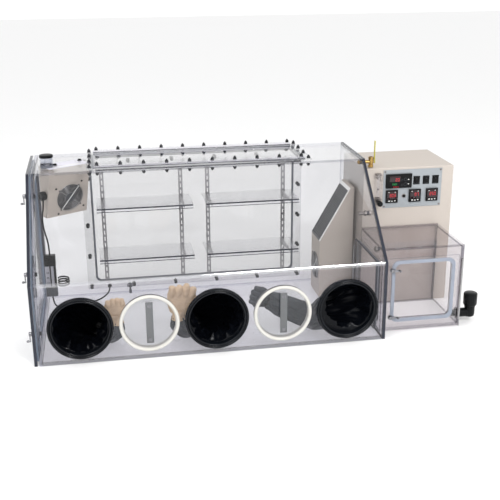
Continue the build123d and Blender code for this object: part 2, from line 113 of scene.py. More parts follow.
def spot(x, y, z, z_dir, x_dir=None):
    """A frame at a point given in millimetres."""
    return facing(Vector((x, y, z)) * MM, z_dir, x_dir)


def shifted(place, x, y, z):
    """A frame moved along its own axes, in millimetres."""
    return place @ Matrix.Translation((x * MM, y * MM, z * MM))


# ---------------------------------------------------------------- camera, floor and light
# The viewpoint is left of the middle, above the roof, looking slightly to the right.
CAMERA_AT = Vector((-0.3554, -3.0049, 1.3156))
CAMERA_YAW, CAMERA_PITCH, CAMERA_ROLL = 9.859, 19.131, -0.303
CAMERA_LENS = 63.05


def make_camera():
    yaw, pitch, roll = (math.radians(a) for a in (CAMERA_YAW, CAMERA_PITCH, CAMERA_ROLL))
    look = Vector((math.sin(yaw) * math.cos(pitch), math.cos(yaw) * math.cos(pitch), -math.sin(pitch)))
    right = Vector((math.cos(yaw), -math.sin(yaw), 0))
    up = right.cross(look)
    tilted_right = right * math.cos(roll) + up * math.sin(roll)
    tilted_up = up * math.cos(roll) - right * math.sin(roll)
    data = bpy.data.cameras.new("camera")
    data.lens, data.sensor_width = CAMERA_LENS, 36
    data.clip_start, data.clip_end = 0.05, 60
    cam = bpy.data.objects.new("camera", data)
    bpy.context.collection.objects.link(cam)
    turn = Matrix((tilted_right, tilted_up, -look)).transposed()
    cam.matrix_world = Matrix.Translation(CAMERA_AT) @ turn.to_4x4()
    bpy.context.scene.camera = cam


def area_light(name, at, target, size, power):
    data = bpy.data.lights.new(name, "AREA")
    data.shape, data.size, data.size_y = "RECTANGLE", size[0], size[1]
    data.energy = power
    lamp = bpy.data.objects.new(name, data)
    bpy.context.collection.objects.link(lamp)
    lamp.location = at
    lamp.rotation_mode = "QUATERNION"
    lamp.rotation_quaternion = (Vector(target) - Vector(at)).to_track_quat("-Z", "Y")


def make_studio():
    scene = bpy.context.scene
    scene.view_settings.view_transform = "Standard"
    scene.cycles.max_bounces = 20
    scene.cycles.transparent_max_bounces = 64
    world = bpy.data.worlds.new("studio")
    scene.world = world
    world.use_nodes = True
    tree = world.node_tree
    tree.nodes["Background"].inputs["Color"].default_value = (1, 1, 1, 1)
    sky = add_node(tree, "ShaderNodeTexCoord")
    parts = add_node(tree, "ShaderNodeSeparateXYZ")
    tone = add_node(tree, "ShaderNodeMapRange", From_Min=0.25, From_Max=1.0, To_Min=1.17, To_Max=0.8)
    tree.links.new(sky.outputs["Generated"], parts.inputs["Vector"])
    tree.links.new(parts.outputs["Z"], tone.inputs["Value"])
    tree.links.new(tone.outputs["Result"], tree.nodes["Background"].inputs["Strength"])
    # a narrow strip whose reflection lies along the right half of the window's bend
    area_light("strip", (1.02, -2.7, 2.5), (0.28, -0.3, 0.28), (1.25, 0.26), 60)
    area_light("key", (-1.9, -1.7, 3.0), (0.1, 0, 0.2), (1.6, 1.6), 34)
    bpy.ops.mesh.primitive_plane_add(size=30, location=(0, 0, 0))
    floor = bpy.context.object
    floor.name = "studio_floor"
    mat, tree, out = new_material("floor")
    bsdf = add_node(tree, "ShaderNodeBsdfPrincipled", Roughness=0.7)
    bsdf.inputs["Base Color"].default_value = (0.96, 0.96, 0.96, 1)
    tree.links.new(bsdf.outputs["BSDF"], out.inputs["Surface"])
    floor.data.materials.append(mat)


# ---------------------------------------------------------------- materials
def new_material(name):
    mat = bpy.data.materials.new(name)
    mat.use_nodes = True
    tree = mat.node_tree
    tree.nodes.clear()
    return mat, tree, tree.nodes.new("ShaderNodeOutputMaterial")


def add_node(tree, kind, operation=None, **sockets):
    made = tree.nodes.new(kind)
    if operation:
        made.operation = operation
    for key, value in sockets.items():
        made.inputs[key.replace("_", " ")].default_value = value
    return made


def finish_of(name, colour, rough=0.5, metallic=0.0, vary=0.08, grain=120.0, bump=0.1, bump_mm=0.2,
              rough_vary=0.1, stretch=(1, 1, 1), shine=0.5, blotch=6.0, glow=0.0):
    """A procedural finish: fine grain, broad blotches of tone, uneven roughness and a relief."""
    mat, tree, out = new_material(name)
    link = tree.links.new
    bsdf = add_node(tree, "ShaderNodeBsdfPrincipled", Metallic=metallic, Specular_IOR_Level=shine)
    where = add_node(tree, "ShaderNodeTexCoord")
    scale = add_node(tree, "ShaderNodeMapping", Scale=stretch)
    link(where.outputs["Object"], scale.inputs["Vector"])
    fine = add_node(tree, "ShaderNodeTexNoise", Scale=grain, Detail=6.0, Roughness=0.6)
    broad = add_node(tree, "ShaderNodeTexNoise", Scale=blotch, Detail=3.0)
    link(scale.outputs["Vector"], fine.inputs["Vector"])
    link(where.outputs["Object"], broad.inputs["Vector"])
    both = add_node(tree, "ShaderNodeMath", "ADD")
    link(fine.outputs["Fac"], both.inputs[0])
    link(broad.outputs["Fac"], both.inputs[1])
    half = add_node(tree, "ShaderNodeMath", "MULTIPLY")
    half.inputs[1].default_value = 0.5
    link(both.outputs[0], half.inputs[0])
    tone = add_node(tree, "ShaderNodeValToRGB")
    low, high = tone.color_ramp.elements
    low.position, high.position = 0.34, 0.66
    low.color = (*(c * (1 - vary) for c in colour), 1)
    high.color = (*(min(1, c * (1 + vary)) for c in colour), 1)
    link(half.outputs[0], tone.inputs["Fac"])
    link(tone.outputs["Color"], bsdf.inputs["Base Color"])
    if glow:
        bsdf.inputs["Emission Color"].default_value = (*colour, 1)
        bsdf.inputs["Emission Strength"].default_value = glow
    gloss = add_node(tree, "ShaderNodeMapRange", From_Min=0.3, From_Max=0.7,
                     To_Min=max(0.02, rough - rough_vary), To_Max=min(1, rough + rough_vary))
    link(broad.outputs["Fac"], gloss.inputs["Value"])
    link(gloss.outputs["Result"], bsdf.inputs["Roughness"])
    relief = add_node(tree, "ShaderNodeBump", Strength=bump, Distance=bump_mm * MM)
    link(fine.outputs["Fac"], relief.inputs["Height"])
    link(relief.outputs["Normal"], bsdf.inputs["Normal"])
    link(bsdf.outputs["BSDF"], out.inputs["Surface"])
    return mat


def see_through(name, tint, rough=0.03, mirrored=(0.035, 0.9)):
    """Clear sheet: light passes with a slight tint, and mirrors more at a low angle."""
    mat, tree, out = new_material(name)
    link = tree.links.new
    where = add_node(tree, "ShaderNodeTexCoord")
    clear = add_node(tree, "ShaderNodeBsdfTransparent", Color=(*tint, 1))
    smear = add_node(tree, "ShaderNodeTexNoise", Scale=7.0, Detail=5.0, Roughness=0.7)
    link(where.outputs["Object"], smear.inputs["Vector"])
    gloss = add_node(tree, "ShaderNodeMapRange", From_Min=0.4, From_Max=0.7,
                     To_Min=rough * 0.5, To_Max=rough * 2)
    link(smear.outputs["Fac"], gloss.inputs["Value"])
    mirror = add_node(tree, "ShaderNodeBsdfGlossy")
    link(gloss.outputs["Result"], mirror.inputs["Roughness"])
    # reflection by Schlick's rule, the same from both sides of a face
    side_on = add_node(tree, "ShaderNodeLayerWeight", Blend=0.5)
    power = add_node(tree, "ShaderNodeMath", "POWER")
    power.inputs[1].default_value = 5.0
    link(side_on.outputs["Facing"], power.inputs[0])
    share = add_node(tree, "ShaderNodeMapRange", To_Min=mirrored[0], To_Max=mirrored[1])
    link(power.outputs[0], share.inputs["Value"])
    sheet = add_node(tree, "ShaderNodeMixShader")
    link(share.outputs["Result"], sheet.inputs["Fac"])
    link(clear.outputs[0], sheet.inputs[1])
    link(mirror.outputs[0], sheet.inputs[2])
    link(sheet.outputs[0], out.inputs["Surface"])
    return mat


M = {
    "face": see_through("acrylic_face", (0.942, 0.942, 0.948)),
    "roof": see_through("acrylic_roof", (0.985, 0.985, 0.99)),
    "cover": see_through("acrylic_cover", (0.905, 0.905, 0.906)),
    "lock": see_through("acrylic_airlock", (0.93, 0.918, 0.925)),
    "disc": see_through("acrylic_disc", (0.86, 0.86, 0.875)),
    "lavender": see_through("acrylic_port_panel", (0.89, 0.885, 0.912)),
    "bend": see_through("acrylic_bend", (0.90, 0.90, 0.93), rough=0.11, mirrored=(0.25, 0.9)),
    "rim": see_through("acrylic_far_edge", (0.80, 0.80, 0.84)),
    "lock_edge": see_through("acrylic_airlock_edge", (0.34, 0.33, 0.37)),
    "floor_edge": see_through("acrylic_floor_edge", (0.45, 0.45, 0.48)),
    "clear": see_through("acrylic_clear", (0.975, 0.975, 0.985)),
    "lilac": see_through("acrylic_bar", (0.955, 0.95, 0.975), mirrored=(0.10, 0.9)),
    "edge": finish_of("acrylic_edge", (0.02, 0.023, 0.035), 0.2, vary=0.3, grain=20, shine=0.35),
    # pale lilac on top of the fan box: painted reflection of the roof panel
    "plate": finish_of("painted_roof_reflection", (0.72, 0.70, 0.80), 0.25, vary=0.06, grain=60),
    "frosted": see_through("clear_plastic", (0.90, 0.91, 0.94), rough=0.25, mirrored=(0.12, 0.8)),
    "rubber": finish_of("black_rubber", (0.004, 0.005, 0.007), 0.2, vary=0.3, bump=0.3, rough_vary=0.08,
                        shine=0.2),
    # near-black copy of the sleeve rubber, used inside the sleeves and near their mouths as painted shade
    "sleeve": finish_of("sleeve_painted_shade", (0.002, 0.0025, 0.004), 0.24, vary=0.4, grain=60, bump=0.4,
                        bump_mm=0.4, rough_vary=0.1, shine=0.14),
    "arm": finish_of("grey_sleeve", (0.045, 0.052, 0.058), 0.42, vary=0.3, grain=70, bump=0.4,
                     bump_mm=0.4, rough_vary=0.12, shine=0.3),
    "latex": finish_of("latex", (0.66, 0.49, 0.31), 0.5, vary=0.14, grain=260, bump=0.3, blotch=26),
    "white": finish_of("white_pvc", (0.60, 0.585, 0.545), 0.36, vary=0.03, grain=200, bump=0.06),
    "steel": finish_of("brushed_steel", (0.36, 0.355, 0.36), 0.34, metallic=0.8, vary=0.2, grain=60,
                       stretch=(1, 1, 14), bump=0.15),
    "chrome": finish_of("chrome", (0.24, 0.24, 0.255), 0.16, metallic=1, vary=0.2, bump=0.05,
                        rough_vary=0.06),
    "dark_chrome": finish_of("dark_chrome", (0.045, 0.045, 0.05), 0.22, metallic=0.8, vary=0.3,
                             rough_vary=0.08),
    "bar": finish_of("grey_bar", (0.14, 0.145, 0.15), 0.42, metallic=0.5, vary=0.1, grain=200, bump=0.1),
    "beige": finish_of("beige_enamel", (0.45, 0.40, 0.355), 0.5, vary=0.045, grain=600, bump=0.3,
                       bump_mm=0.3),
    "cream": finish_of("cream_enamel", (0.49, 0.44, 0.395), 0.55, vary=0.04, grain=600, bump=0.3,
                       bump_mm=0.3),
    "grille": finish_of("grille", (0.12, 0.125, 0.13), 0.5, metallic=0.3, vary=0.12, bump=0.2),
    "black": finish_of("black_plastic", (0.004, 0.0045, 0.005), 0.34, vary=0.3, grain=400, bump=0.15,
                       shine=0.16),
    "gasket": finish_of("blue_gasket", (0.17, 0.21, 0.27), 0.6, vary=0.14, grain=350, bump=0.4),
    "pale_gasket": finish_of("pale_gasket", (0.28, 0.31, 0.37), 0.6, vary=0.1, grain=350, bump=0.4),
    "grey_gasket": finish_of("grey_gasket", (0.14, 0.15, 0.17), 0.55, vary=0.12, grain=350, bump=0.3),
    "aluminium": finish_of("brushed_aluminium", (0.34, 0.365, 0.385), 0.4, metallic=0.5, vary=0.06, grain=70,
                           stretch=(1, 1, 20), bump=0.08),
    "brass": finish_of("brass", (0.42, 0.27, 0.09), 0.24, metallic=1, vary=0.15, bump=0.08),
    "yellow": finish_of("yellow_vinyl", (0.44, 0.40, 0.045), 0.4, vary=0.08, bump=0.1),
    "nickel": finish_of("dull_nickel", (0.22, 0.2, 0.19), 0.35, metallic=0.9, vary=0.2, bump=0.12),
    "grey": finish_of("grey_plastic", (0.05, 0.054, 0.06), 0.45, vary=0.15, grain=400, bump=0.12, shine=0.25),
    "silver": finish_of("silver_plate", (0.36, 0.36, 0.40), 0.4, metallic=0.4, vary=0.1, grain=90, bump=0.1),
    "red_digit": finish_of("red_digit", (0.62, 0.012, 0.025), 0.4, vary=0.1, glow=0.2),
    "green_digit": finish_of("green_digit", (0.02, 0.30, 0.07), 0.4, vary=0.1, glow=0.1),
    "key": finish_of("white_key", (0.82, 0.82, 0.8), 0.4, vary=0.04),
    "smoke": finish_of("smoked_window", (0.02, 0.008, 0.01), 0.12, vary=0.2, rough_vary=0.04),
}


# ---------------------------------------------------------------- mesh tools
def add_part(bm, part, place=Matrix(), mat=0):
    """Moves one small mesh into place and joins it to a larger one."""
    for face in part.faces:
        face.material_index = mat
    part.transform(place)
    copy = bpy.data.meshes.new("part")
    part.to_mesh(copy)
    part.free()
    bm.from_mesh(copy)
    bpy.data.meshes.remove(copy)


def lathe(bm, profile, place=Matrix(), mat=0, steps=40, closed=False, ribs=0, rib_depth=0.0):
    """Turns a profile of (radius, height) points in millimetres about the frame's z.
    With ribs, the radius dips rib_depth between that many ridges."""
    part = bmesh.new()
    rings = []
    for radius, height in profile:
        if radius < 1e-6:
            rings.append([part.verts.new((0, 0, height * MM))])
            continue
        ring = []
        for i in range(steps):
            turn = 2 * math.pi * i / steps
            dip = rib_depth * (0.5 - 0.5 * math.cos(ribs * turn)) if ribs else 0
            r = (radius - dip) * MM
            ring.append(part.verts.new((r * math.cos(turn), r * math.sin(turn), height * MM)))
        rings.append(ring)
    pairs = list(zip(rings, rings[1:])) + ([(rings[-1], rings[0])] if closed else [])
    for a, b in pairs:
        for i in range(steps):
            j = (i + 1) % steps
            corners = [a[i % len(a)], a[j % len(a)], b[j % len(b)], b[i % len(b)]]
            unique = list(dict.fromkeys(corners))
            if len(unique) > 2:
                part.faces.new(unique)
    bmesh.ops.recalc_face_normals(part, faces=part.faces)
    add_part(bm, part, place, mat)


def slab(bm, low, high, place=Matrix(), mat=0, bevel=0.5):
    """A box between two corners, in millimetres, with rounded edges."""
    part = bmesh.new()
    bmesh.ops.create_cube(part, size=1)
    low, high = Vector(low) * MM, Vector(high) * MM
    size = high - low
    for vert in part.verts:
        vert.co = Vector(vert.co[i] * size[i] for i in range(3)) + (low + high) / 2
    if bevel:
        width = min(bevel * MM, min(size) * 0.45)
        bmesh.ops.bevel(part, geom=part.edges[:], offset=width, segments=2, affect="EDGES", profile=0.6)
    add_part(bm, part, place, mat)


def prism(bm, outline, depth, place=Matrix(), mat=0, bevel=0.4):
    """An outline of (x, y) points in millimetres, raised along the frame's z by depth."""
    part = bmesh.new()
    base = part.faces.new([part.verts.new((x * MM, y * MM, 0)) for x, y in outline])
    raised = bmesh.ops.extrude_face_region(part, geom=[base])
    top = [v for v in raised["geom"] if isinstance(v, bmesh.types.BMVert)]
    bmesh.ops.translate(part, verts=top, vec=(0, 0, depth * MM))
    bmesh.ops.recalc_face_normals(part, faces=part.faces)
    if bevel:
        bmesh.ops.bevel(part, geom=part.edges[:], offset=bevel * MM, segments=2, affect="EDGES", profile=0.6)
    add_part(bm, part, place, mat)


def wire(bm, points, radius, mat=0, sides=10, closed=False, taper=None):
    """A round wire along points in metres; taper gives each point's own share of the radius."""
    part = bmesh.new()
    points = [Vector(p) for p in points]
    count = len(points)
    side = None
    rings = []
    for i, point in enumerate(points):
        if closed:
            way = points[(i + 1) % count] - points[i - 1]
        else:
            way = points[min(i + 1, count - 1)] - points[max(i - 1, 0)]
        way.normalize()
        if side is None:
            side = way.orthogonal()
        side = (side - way * side.dot(way)).normalized()
        other = way.cross(side)
        r = radius * (taper[i] if taper else 1)
        turns = [2 * math.pi * k / sides for k in range(sides)]
        rings.append([part.verts.new(point + (side * math.cos(t) + other * math.sin(t)) * r) for t in turns])
    for a, b in list(zip(rings, rings[1:])) + ([(rings[-1], rings[0])] if closed else []):
        for k in range(sides):
            part.faces.new((a[k], a[(k + 1) % sides], b[(k + 1) % sides], b[k]))
    if not closed:
        part.faces.new(rings[0])
        part.faces.new(rings[-1])
    bmesh.ops.recalc_face_normals(part, faces=part.faces)
    add_part(bm, part, Matrix(), mat)


def circle(place, radius, steps=64):
    """Points of a circle in a frame, in metres."""
    turns = [2 * math.pi * i / steps for i in range(steps)]
    return [place @ Vector((radius * math.cos(t), radius * math.sin(t), 0)) for t in turns]


def piece(bm, name, looks, body="chamber", nodes=(), sharp=38):
    """Makes an object of a mesh, gives it its finishes and says what it rides on and replaces."""
    mesh = bpy.data.meshes.new(name)
    bm.to_mesh(mesh)
    bm.free()
    for look in looks:
        mesh.materials.append(M[look])
    mesh.shade_smooth()
    mesh.set_sharp_from_angle(angle=math.radians(sharp))
    obj = bpy.data.objects.new(name, mesh)
    bpy.context.collection.objects.link(obj)
    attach(obj, body)
    if nodes:
        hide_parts(*nodes)
    return obj


def remeshed(bm, voxel, smooth=0):
    """Joins overlapping closed forms into one skin."""
    mesh = bpy.data.meshes.new("lump")
    bm.to_mesh(mesh)
    bm.free()
    obj = bpy.data.objects.new("lump", mesh)
    bpy.context.collection.objects.link(obj)
    join = obj.modifiers.new("join", "REMESH")
    join.mode, join.voxel_size = "VOXEL", voxel * MM
    if smooth:
        soften = obj.modifiers.new("soften", "SMOOTH")
        soften.iterations, soften.factor = smooth, 0.5
    ready = bpy.data.meshes.new_from_object(obj.evaluated_get(bpy.context.evaluated_depsgraph_get()))
    result = bmesh.new()
    result.from_mesh(ready)
    bpy.data.objects.remove(obj)
    bpy.data.meshes.remove(ready)
    return result


def paint(look, *nodes):
    """Gives CAD nodes a finish."""
    for name in nodes:
        obj = bpy.data.objects[name]
        obj.data.materials.clear()
        obj.data.materials.append(M[look])


# ---------------------------------------------------------------- leads
def curve_piece(name, points, radius, look):
    data = bpy.data.curves.new(name, "CURVE")
    data.dimensions, data.bevel_depth, data.bevel_resolution = "3D", radius, 5
    data.resolution_u, data.use_fill_caps = 10, True
    line = data.splines.new("NURBS")
    line.points.add(len(points) - 1)
    for spot, point in zip(line.points, points):
        spot.co = (*point, 1)
    line.order_u, line.use_endpoint_u = 3, True
    data.materials.append(M[look])
    obj = bpy.data.objects.new(name, data)
    bpy.context.collection.objects.link(obj)
    return obj


def curve_length(obj):
    """The length of a curve object's own line."""
    bare = obj.data.copy()
    bare.bevel_depth = 0
    copy = bpy.data.objects.new("measure", bare)
    mesh = bpy.data.meshes.new_from_object(copy)
    points = [v.co.copy() for v in mesh.vertices]
    bpy.data.objects.remove(copy)
    bpy.data.meshes.remove(mesh)
    return sum((b - a).length for a, b in zip(points, points[1:]))


LEAD_R = 3.0
FAN_ROUTE = [
    (-0.569, 0.1295, 0.4499),
    (-0.570, 0.1295, 0.428),
    (-0.578, 0.1305, 0.388),
    (-0.576, 0.1345, 0.338),
    (-0.563, 0.1375, 0.284),
    (-0.563, 0.1375, 0.238),
]
FLOOR_ROUTE = [
    (-0.563, 0.1375, 0.078),
    (-0.563, 0.1375, 0.056),
    (-0.555, 0.1415, 0.032),
    (-0.533, 0.1495, 0.018),
    (-0.497, 0.1655, 0.0132),
    (-0.459, 0.1895, 0.0134),
    (-0.421, 0.2035, 0.0134),
    (-0.389, 0.2135, 0.018),
    (-0.363, 0.2255, 0.030),
    (-0.350, 0.2475, 0.042),
    (-0.350, 0.2785, 0.042),
]
COIL_TURNS, COIL_STEPS = 3, 18


def make_leads():
    for name, route, length in (("fan_lead", FAN_ROUTE, 0.2140), ("floor_lead", FLOOR_ROUTE, 0.3205)):
        lead = curve_piece(name, route, LEAD_R * MM, "black")
        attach(lead, "chamber")
    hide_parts("power_leads")

    # the spare lead is wound in a few loose turns that hang beside the outlet block
    low, high = box_of("lead_coil")
    mid, radius = (low + high) / 2, (high.x - low.x) / 2 - LEAD_R * MM
    rise = (high.z - low.z) - 2 * LEAD_R * MM
    points = []
    for i in range(COIL_TURNS * COIL_STEPS + 1):
        turn = math.pi + 2 * math.pi * i / COIL_STEPS
        loose = 1 - 0.05 * (0.5 + 0.5 * math.sin(turn * 0.37))
        z = low.z + LEAD_R * MM + rise * i / (COIL_TURNS * COIL_STEPS)
        points.append((mid.x + radius * loose * math.cos(turn), mid.y + radius * loose * math.sin(turn), z))
    coil = curve_piece("spare_lead", points, LEAD_R * MM, "black")
    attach(coil, "chamber")
    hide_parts("lead_coil")
    curve_length(coil)


# ---------------------------------------------------------------- chamber
EDGE_WIDTH = 11.5 * MM  # a flat area narrower than this is a cut edge
FAR_BAND = 30 * MM  # edges this near the rear look paler


def flat_areas(bm):
    """Groups of faces that share one plane and touch."""
    left, groups = set(bm.faces), []
    while left:
        seed = left.pop()
        group, queue = [seed], [seed]
        while queue:
            for edge in queue.pop().edges:
                for face in edge.link_faces:
                    if face in left and face.normal.dot(seed.normal) > 0.9999:
                        left.discard(face)
                        group.append(face)
                        queue.append(face)
        groups.append(group)
    return groups


def clear_sheet(node, face="face", near_edge="edge", upright=None, bend=None):
    """Copies an acrylic node with its cut edges dark: an area only a sheet's thickness wide is an
    edge. Edges along the rear look paler. On the window, upright areas and the bend differ."""
    looks = [face, near_edge, "rim", upright or face, bend or face]
    bm = bmesh.new()
    bm.from_mesh(bpy.data.objects[node].data)
    bmesh.ops.remove_doubles(bm, verts=bm.verts, dist=1e-5)
    bm.normal_update()
    for group in flat_areas(bm):
        verts = {v for f in group for v in f.verts}
        low = Vector(min(v.co[i] for v in verts) for i in range(3))
        high = Vector(max(v.co[i] for v in verts) for i in range(3))
        width = sum(f.calc_area() for f in group) / max((high - low).length, 1e-6)
        normal = group[0].normal
        if bend and abs(normal.x) < 0.1 and 0.05 < abs(normal.z) < 0.69:
            look = 4
        elif width < EDGE_WIDTH:
            look = 2 if (low.y + high.y) / 2 > REAR_Y - FAR_BAND else 1
        else:
            look = 3 if abs(normal.y) > 0.99 else 0
        for f in group:
            f.material_index = look
    piece(bm, node + "_sheet", looks, BODY[node], [node], sharp=24)


def make_chamber():
    clear_sheet("front_window", upright="lavender", bend="bend")
    clear_sheet("left_wall", near_edge="rim")
    clear_sheet("right_wall")
    clear_sheet("roof_panel", face="roof")
    clear_sheet("rear_wall", near_edge="rim")
    clear_sheet("rear_cover", face="cover", near_edge="rim")
    clear_sheet("chamber_floor", near_edge="floor_edge")
    clear_sheet("access_door")
    clear_sheet("inner_door")
    clear_sheet("airlock_door", face="roof", near_edge="rim")
    clear_sheet("airlock_shell", face="lock", near_edge="lock_edge")
    paint("disc", "cover_disc_left", "cover_disc_right")
    paint("clear", "cover_clips")


def make_hatch():
    """The hatch lid with its two raised clamping bars."""
    (lid, bars) = [], []
    for low, high in solids("hatch_lid"):
        (bars if high.y - low.y < 0.05 else lid).append((low, high))
    bm = bmesh.new()
    for low, high in lid:
        slab(bm, low / MM, high / MM, bevel=0.8)
    for low, high in bars:
        lo, hi = low / MM, high / MM
        slab(bm, lo, hi, mat=1, bevel=1.2)
        slab(bm, (lo.x, lo.y - 0.3, lo.z - 0.1), (hi.x, lo.y + 1.2, lo.z + 1.6), mat=2, bevel=0.2)
    piece(bm, "roof_hatch", ["roof", "lilac", "edge"], nodes=["hatch_lid"])


def nut(bm, place, mat=0, tall=9.0):
    """A round nut on a washer, with the end of its stud standing out."""
    lathe(bm, [(0, 0), (7.2, 0), (7.2, 1.2), (4.6, 1.3)], place, mat, 24)
    lathe(bm, [(5.9, 1.2), (6.1, 2.2), (6.1, tall - 2.2), (5.4, tall - 0.7), (4.2, tall), (0, tall)], place,
          mat, 36,
          ribs=12, rib_depth=0.45)
    lathe(bm, [(2.9, tall - 0.5), (2.9, tall + 3), (2.3, tall + 3.6), (0, tall + 3.6)], place, mat, 20)


def screw(bm, place, mat=0, radius=6.2, tall=4.6):
    """A domed screw head with a hexagon socket, on a washer."""
    lathe(bm, [(0, 0), (radius + 1.2, 0), (radius + 1.2, 0.9), (radius - 1, 1.0)], place, mat, 28)
    lathe(bm, [(radius - 0.6, 0.9), (radius - 0.5, tall * 0.4), (radius * 0.78, tall * 0.8), (radius * 0.5,
                                                                                              tall),
               (radius * 0.42, tall)], place, mat, 28)
    lathe(bm, [(radius * 0.42, tall), (radius * 0.40, tall * 0.45), (0, tall * 0.4)], place, mat, 6)


def make_fasteners():
    bm = bmesh.new()
    for low, high in solids("cover_fasteners"):
        mid = (low + high) / 2
        if high.z > ROOF_TOP:
            nut(bm, facing((mid.x, mid.y, low.z), Z))
            under = facing((mid.x, mid.y, ROOF_TOP - SHEET), -Z)
            lathe(bm, [(0, 0), (7, 0), (7, 1.2), (5.8, 1.3), (5.8, 6), (4.8, 6.8), (2.8, 6.8), (2.8, 9), (0,
                                                                                                          9.4)],
                  under, 0, 24)
        elif mid.y > REAR_Y:
            screw(bm, facing((mid.x, low.y, mid.z), Y))
        else:
            screw(bm, facing((mid.x, high.y, mid.z), -Y), radius=5.6, tall=4.2)
    piece(bm, "nuts_and_screws", ["dark_chrome"], nodes=["cover_fasteners"])


def make_shelves():
    """Clear shelves bent down along the front, whose front bend and ends look dark."""
    bm = bmesh.new()
    for low, high in solids("shelves"):
        lo, hi = low / MM, high / MM
        top, thick = hi.z, 5.0
        slab(bm, (lo.x, lo.y + 3, top - thick), (hi.x, hi.y, top), bevel=0.5)
        slab(bm, (lo.x, lo.y, top - thick - 0.4), (hi.x, lo.y + 3.4, top), mat=1, bevel=1.2)
        slab(bm, (lo.x, lo.y + 0.3, lo.z), (hi.x, lo.y + 4, top - thick), mat=2, bevel=0.5)
        slab(bm, (lo.x, lo.y, lo.z - 0.2), (hi.x, lo.y + 4.2, lo.z + 1.4), mat=1, bevel=0.4)
    piece(bm, "clear_shelves", ["face", "edge", "clear"], nodes=["shelves"])


# ---------------------------------------------------------------- ports, sleeves and gloves
def make_port_rings():
    """Rubber rings: a rounded bead, a groove, and the rolled edge of the sleeve inside it."""
    bm = bmesh.new()
    profile = [(99.5, 24), (99.5, 0.2), (108.6, 0.2), (109, -3), (109, -8), (107.8, -11.6), (106, -13.4),
               (104, -13.8),
               (102.4, -12.6), (101.2, -10), (100.2, -9.4), (98.6, -11), (96, -11.6), (94, -10.6), (92.4, -8),
               (92, 0), (93.2, 24)]
    for pair in solids("glove_port_rings"):
        mid = middle(pair)
        lathe(bm, profile, facing((mid.x, FRONT_Y, mid.z), Y), steps=120, closed=True)
    piece(bm, "port_rings", ["rubber"], nodes=["glove_port_rings"], sharp=50)


def port_centre(node):
    bag = max(solids(node), key=lambda pair: pair[1].z - pair[0].z)
    ring = min(solids("glove_port_rings"), key=lambda pair: abs(middle(pair).x - middle(bag).x))
    return middle(ring)


SLEEVE_WALL = 0.6 * MM
SHADED_MOUTH_LENGTH = 0.10  # length of each sleeve whose outside is also painted near-black as painted shade, in metres


def sleeve(name, node, path, radii, seed):
    """A rubber sleeve: a wide mouth in the port that gathers in pleats and runs on along a path."""
    random.seed(seed)
    pleats = [(random.randint(5, 8), random.random() * 6.3), (random.randint(9, 13), random.random() * 6.3),
              (random.randint(15, 19), random.random() * 6.3)]
    steps_u, steps_v = 120, 72
    points = [Vector(p) for p in path]
    lengths = [0.0]
    for a, b in zip(points, points[1:]):
        lengths.append(lengths[-1] + (b - a).length)
    bm = bmesh.new()
    side, rings = X.copy(), []
    for j in range(steps_v + 1):
        at = lengths[-1] * j / steps_v
        k = max(i for i in range(len(points) - 1) if lengths[i] <= at + 1e-9)
        share = (at - lengths[k]) / (lengths[k + 1] - lengths[k])
        mid = points[k].lerp(points[k + 1], share)
        before, after = points[max(k - 1, 0)], points[min(k + 2, len(points) - 1)]
        way = ((points[k + 1] - before).normalized() * (1 - share) + (after - points[k]).normalized() * share)
        if k == 0:
            way = Y * (1 - share) + way * share
        way.normalize()
        side = (side - way * side.dot(way)).normalized()
        other = way.cross(side)
        radius = radii[k] * (1 - share) + radii[k + 1] * share
        deep = min(1.0, at / 0.03)
        side_down = 1 if other.z > 0 else -1
        ring = []
        for i in range(steps_u):
            turn = 2 * math.pi * i / steps_u
            fold = 0.0
            for count, phase in pleats:
                twist = phase + at * 9 + 1.3 * math.sin(at * 22 + phase)
                fold += (1 - abs(math.sin(count * turn / 2 + twist))) ** 2 * (5.0 / count)
            rough_fold = noise.noise(Vector((math.cos(turn) * 2.2, math.sin(turn) * 2.2, at * 26 + seed)))
            sag = 1 + 0.9 * max(0, -math.sin(turn) * side_down) * min(1, at / 0.02)
            size = radius * (1 - 0.15 * fold * deep * sag + 0.10 * rough_fold * deep)
            ring.append(bm.verts.new(mid + (side * math.cos(turn) + other * math.sin(turn)) * size * MM))
        rings.append(ring)
    for j, (a, b) in enumerate(zip(rings, rings[1:])):
        for i in range(steps_u):
            face = bm.faces.new((a[i], a[(i + 1) % steps_u], b[(i + 1) % steps_u], b[i]))
            # faces near the mouth get the near-black copy: painted shade
            face.material_index = 0 if lengths[-1] * j / steps_v < SHADED_MOUTH_LENGTH else 1
    bm.faces.new(rings[-1])
    bmesh.ops.recalc_face_normals(bm, faces=bm.faces)
    for vert in bm.verts:
        vert.co.z = max(vert.co.z, FLOOR_HI.z + 0.5 * MM)
        vert.co.y = max(vert.co.y, FRONT_Y + 11 * MM)
    bmesh.ops.smooth_vert(bm, verts=[v for v in bm.verts if not v.is_boundary], factor=0.4,
                          use_axis_x=True, use_axis_y=True, use_axis_z=True)
    # the rubber has a wall, its inner side painted near-black as painted shade inside the sleeve, joined to the
    # outer side round the mouth
    bm.normal_update()
    outer, mouth = list(bm.faces), [e for e in bm.edges if e.is_boundary]
    inner = {v: bm.verts.new(v.co - v.normal * SLEEVE_WALL) for v in list(bm.verts)}
    for face in outer:
        bm.faces.new([inner[v] for v in reversed(face.verts)])
    for edge in mouth:
        a, b = edge.verts
        bm.faces.new((a, b, inner[b], inner[a]))
    bmesh.ops.recalc_face_normals(bm, faces=bm.faces)
    return piece(bm, name, ["sleeve", "arm"], nodes=[node], sharp=70)


def finger(bm, start, end, radius, bend=0.0, side=Y):
    """One finger as a tapered capsule with a slight bend."""
    start, end = Vector(start), Vector(end)
    points, taper = [], []
    for i in range(9):
        share = i / 8
        points.append(start.lerp(end, share) + Vector(side) * bend * math.sin(math.pi * share))
        taper.append((1 - 0.22 * share) * (1 if i < 8 else 0.6))
    wire(bm, points, radius, sides=14, taper=taper)


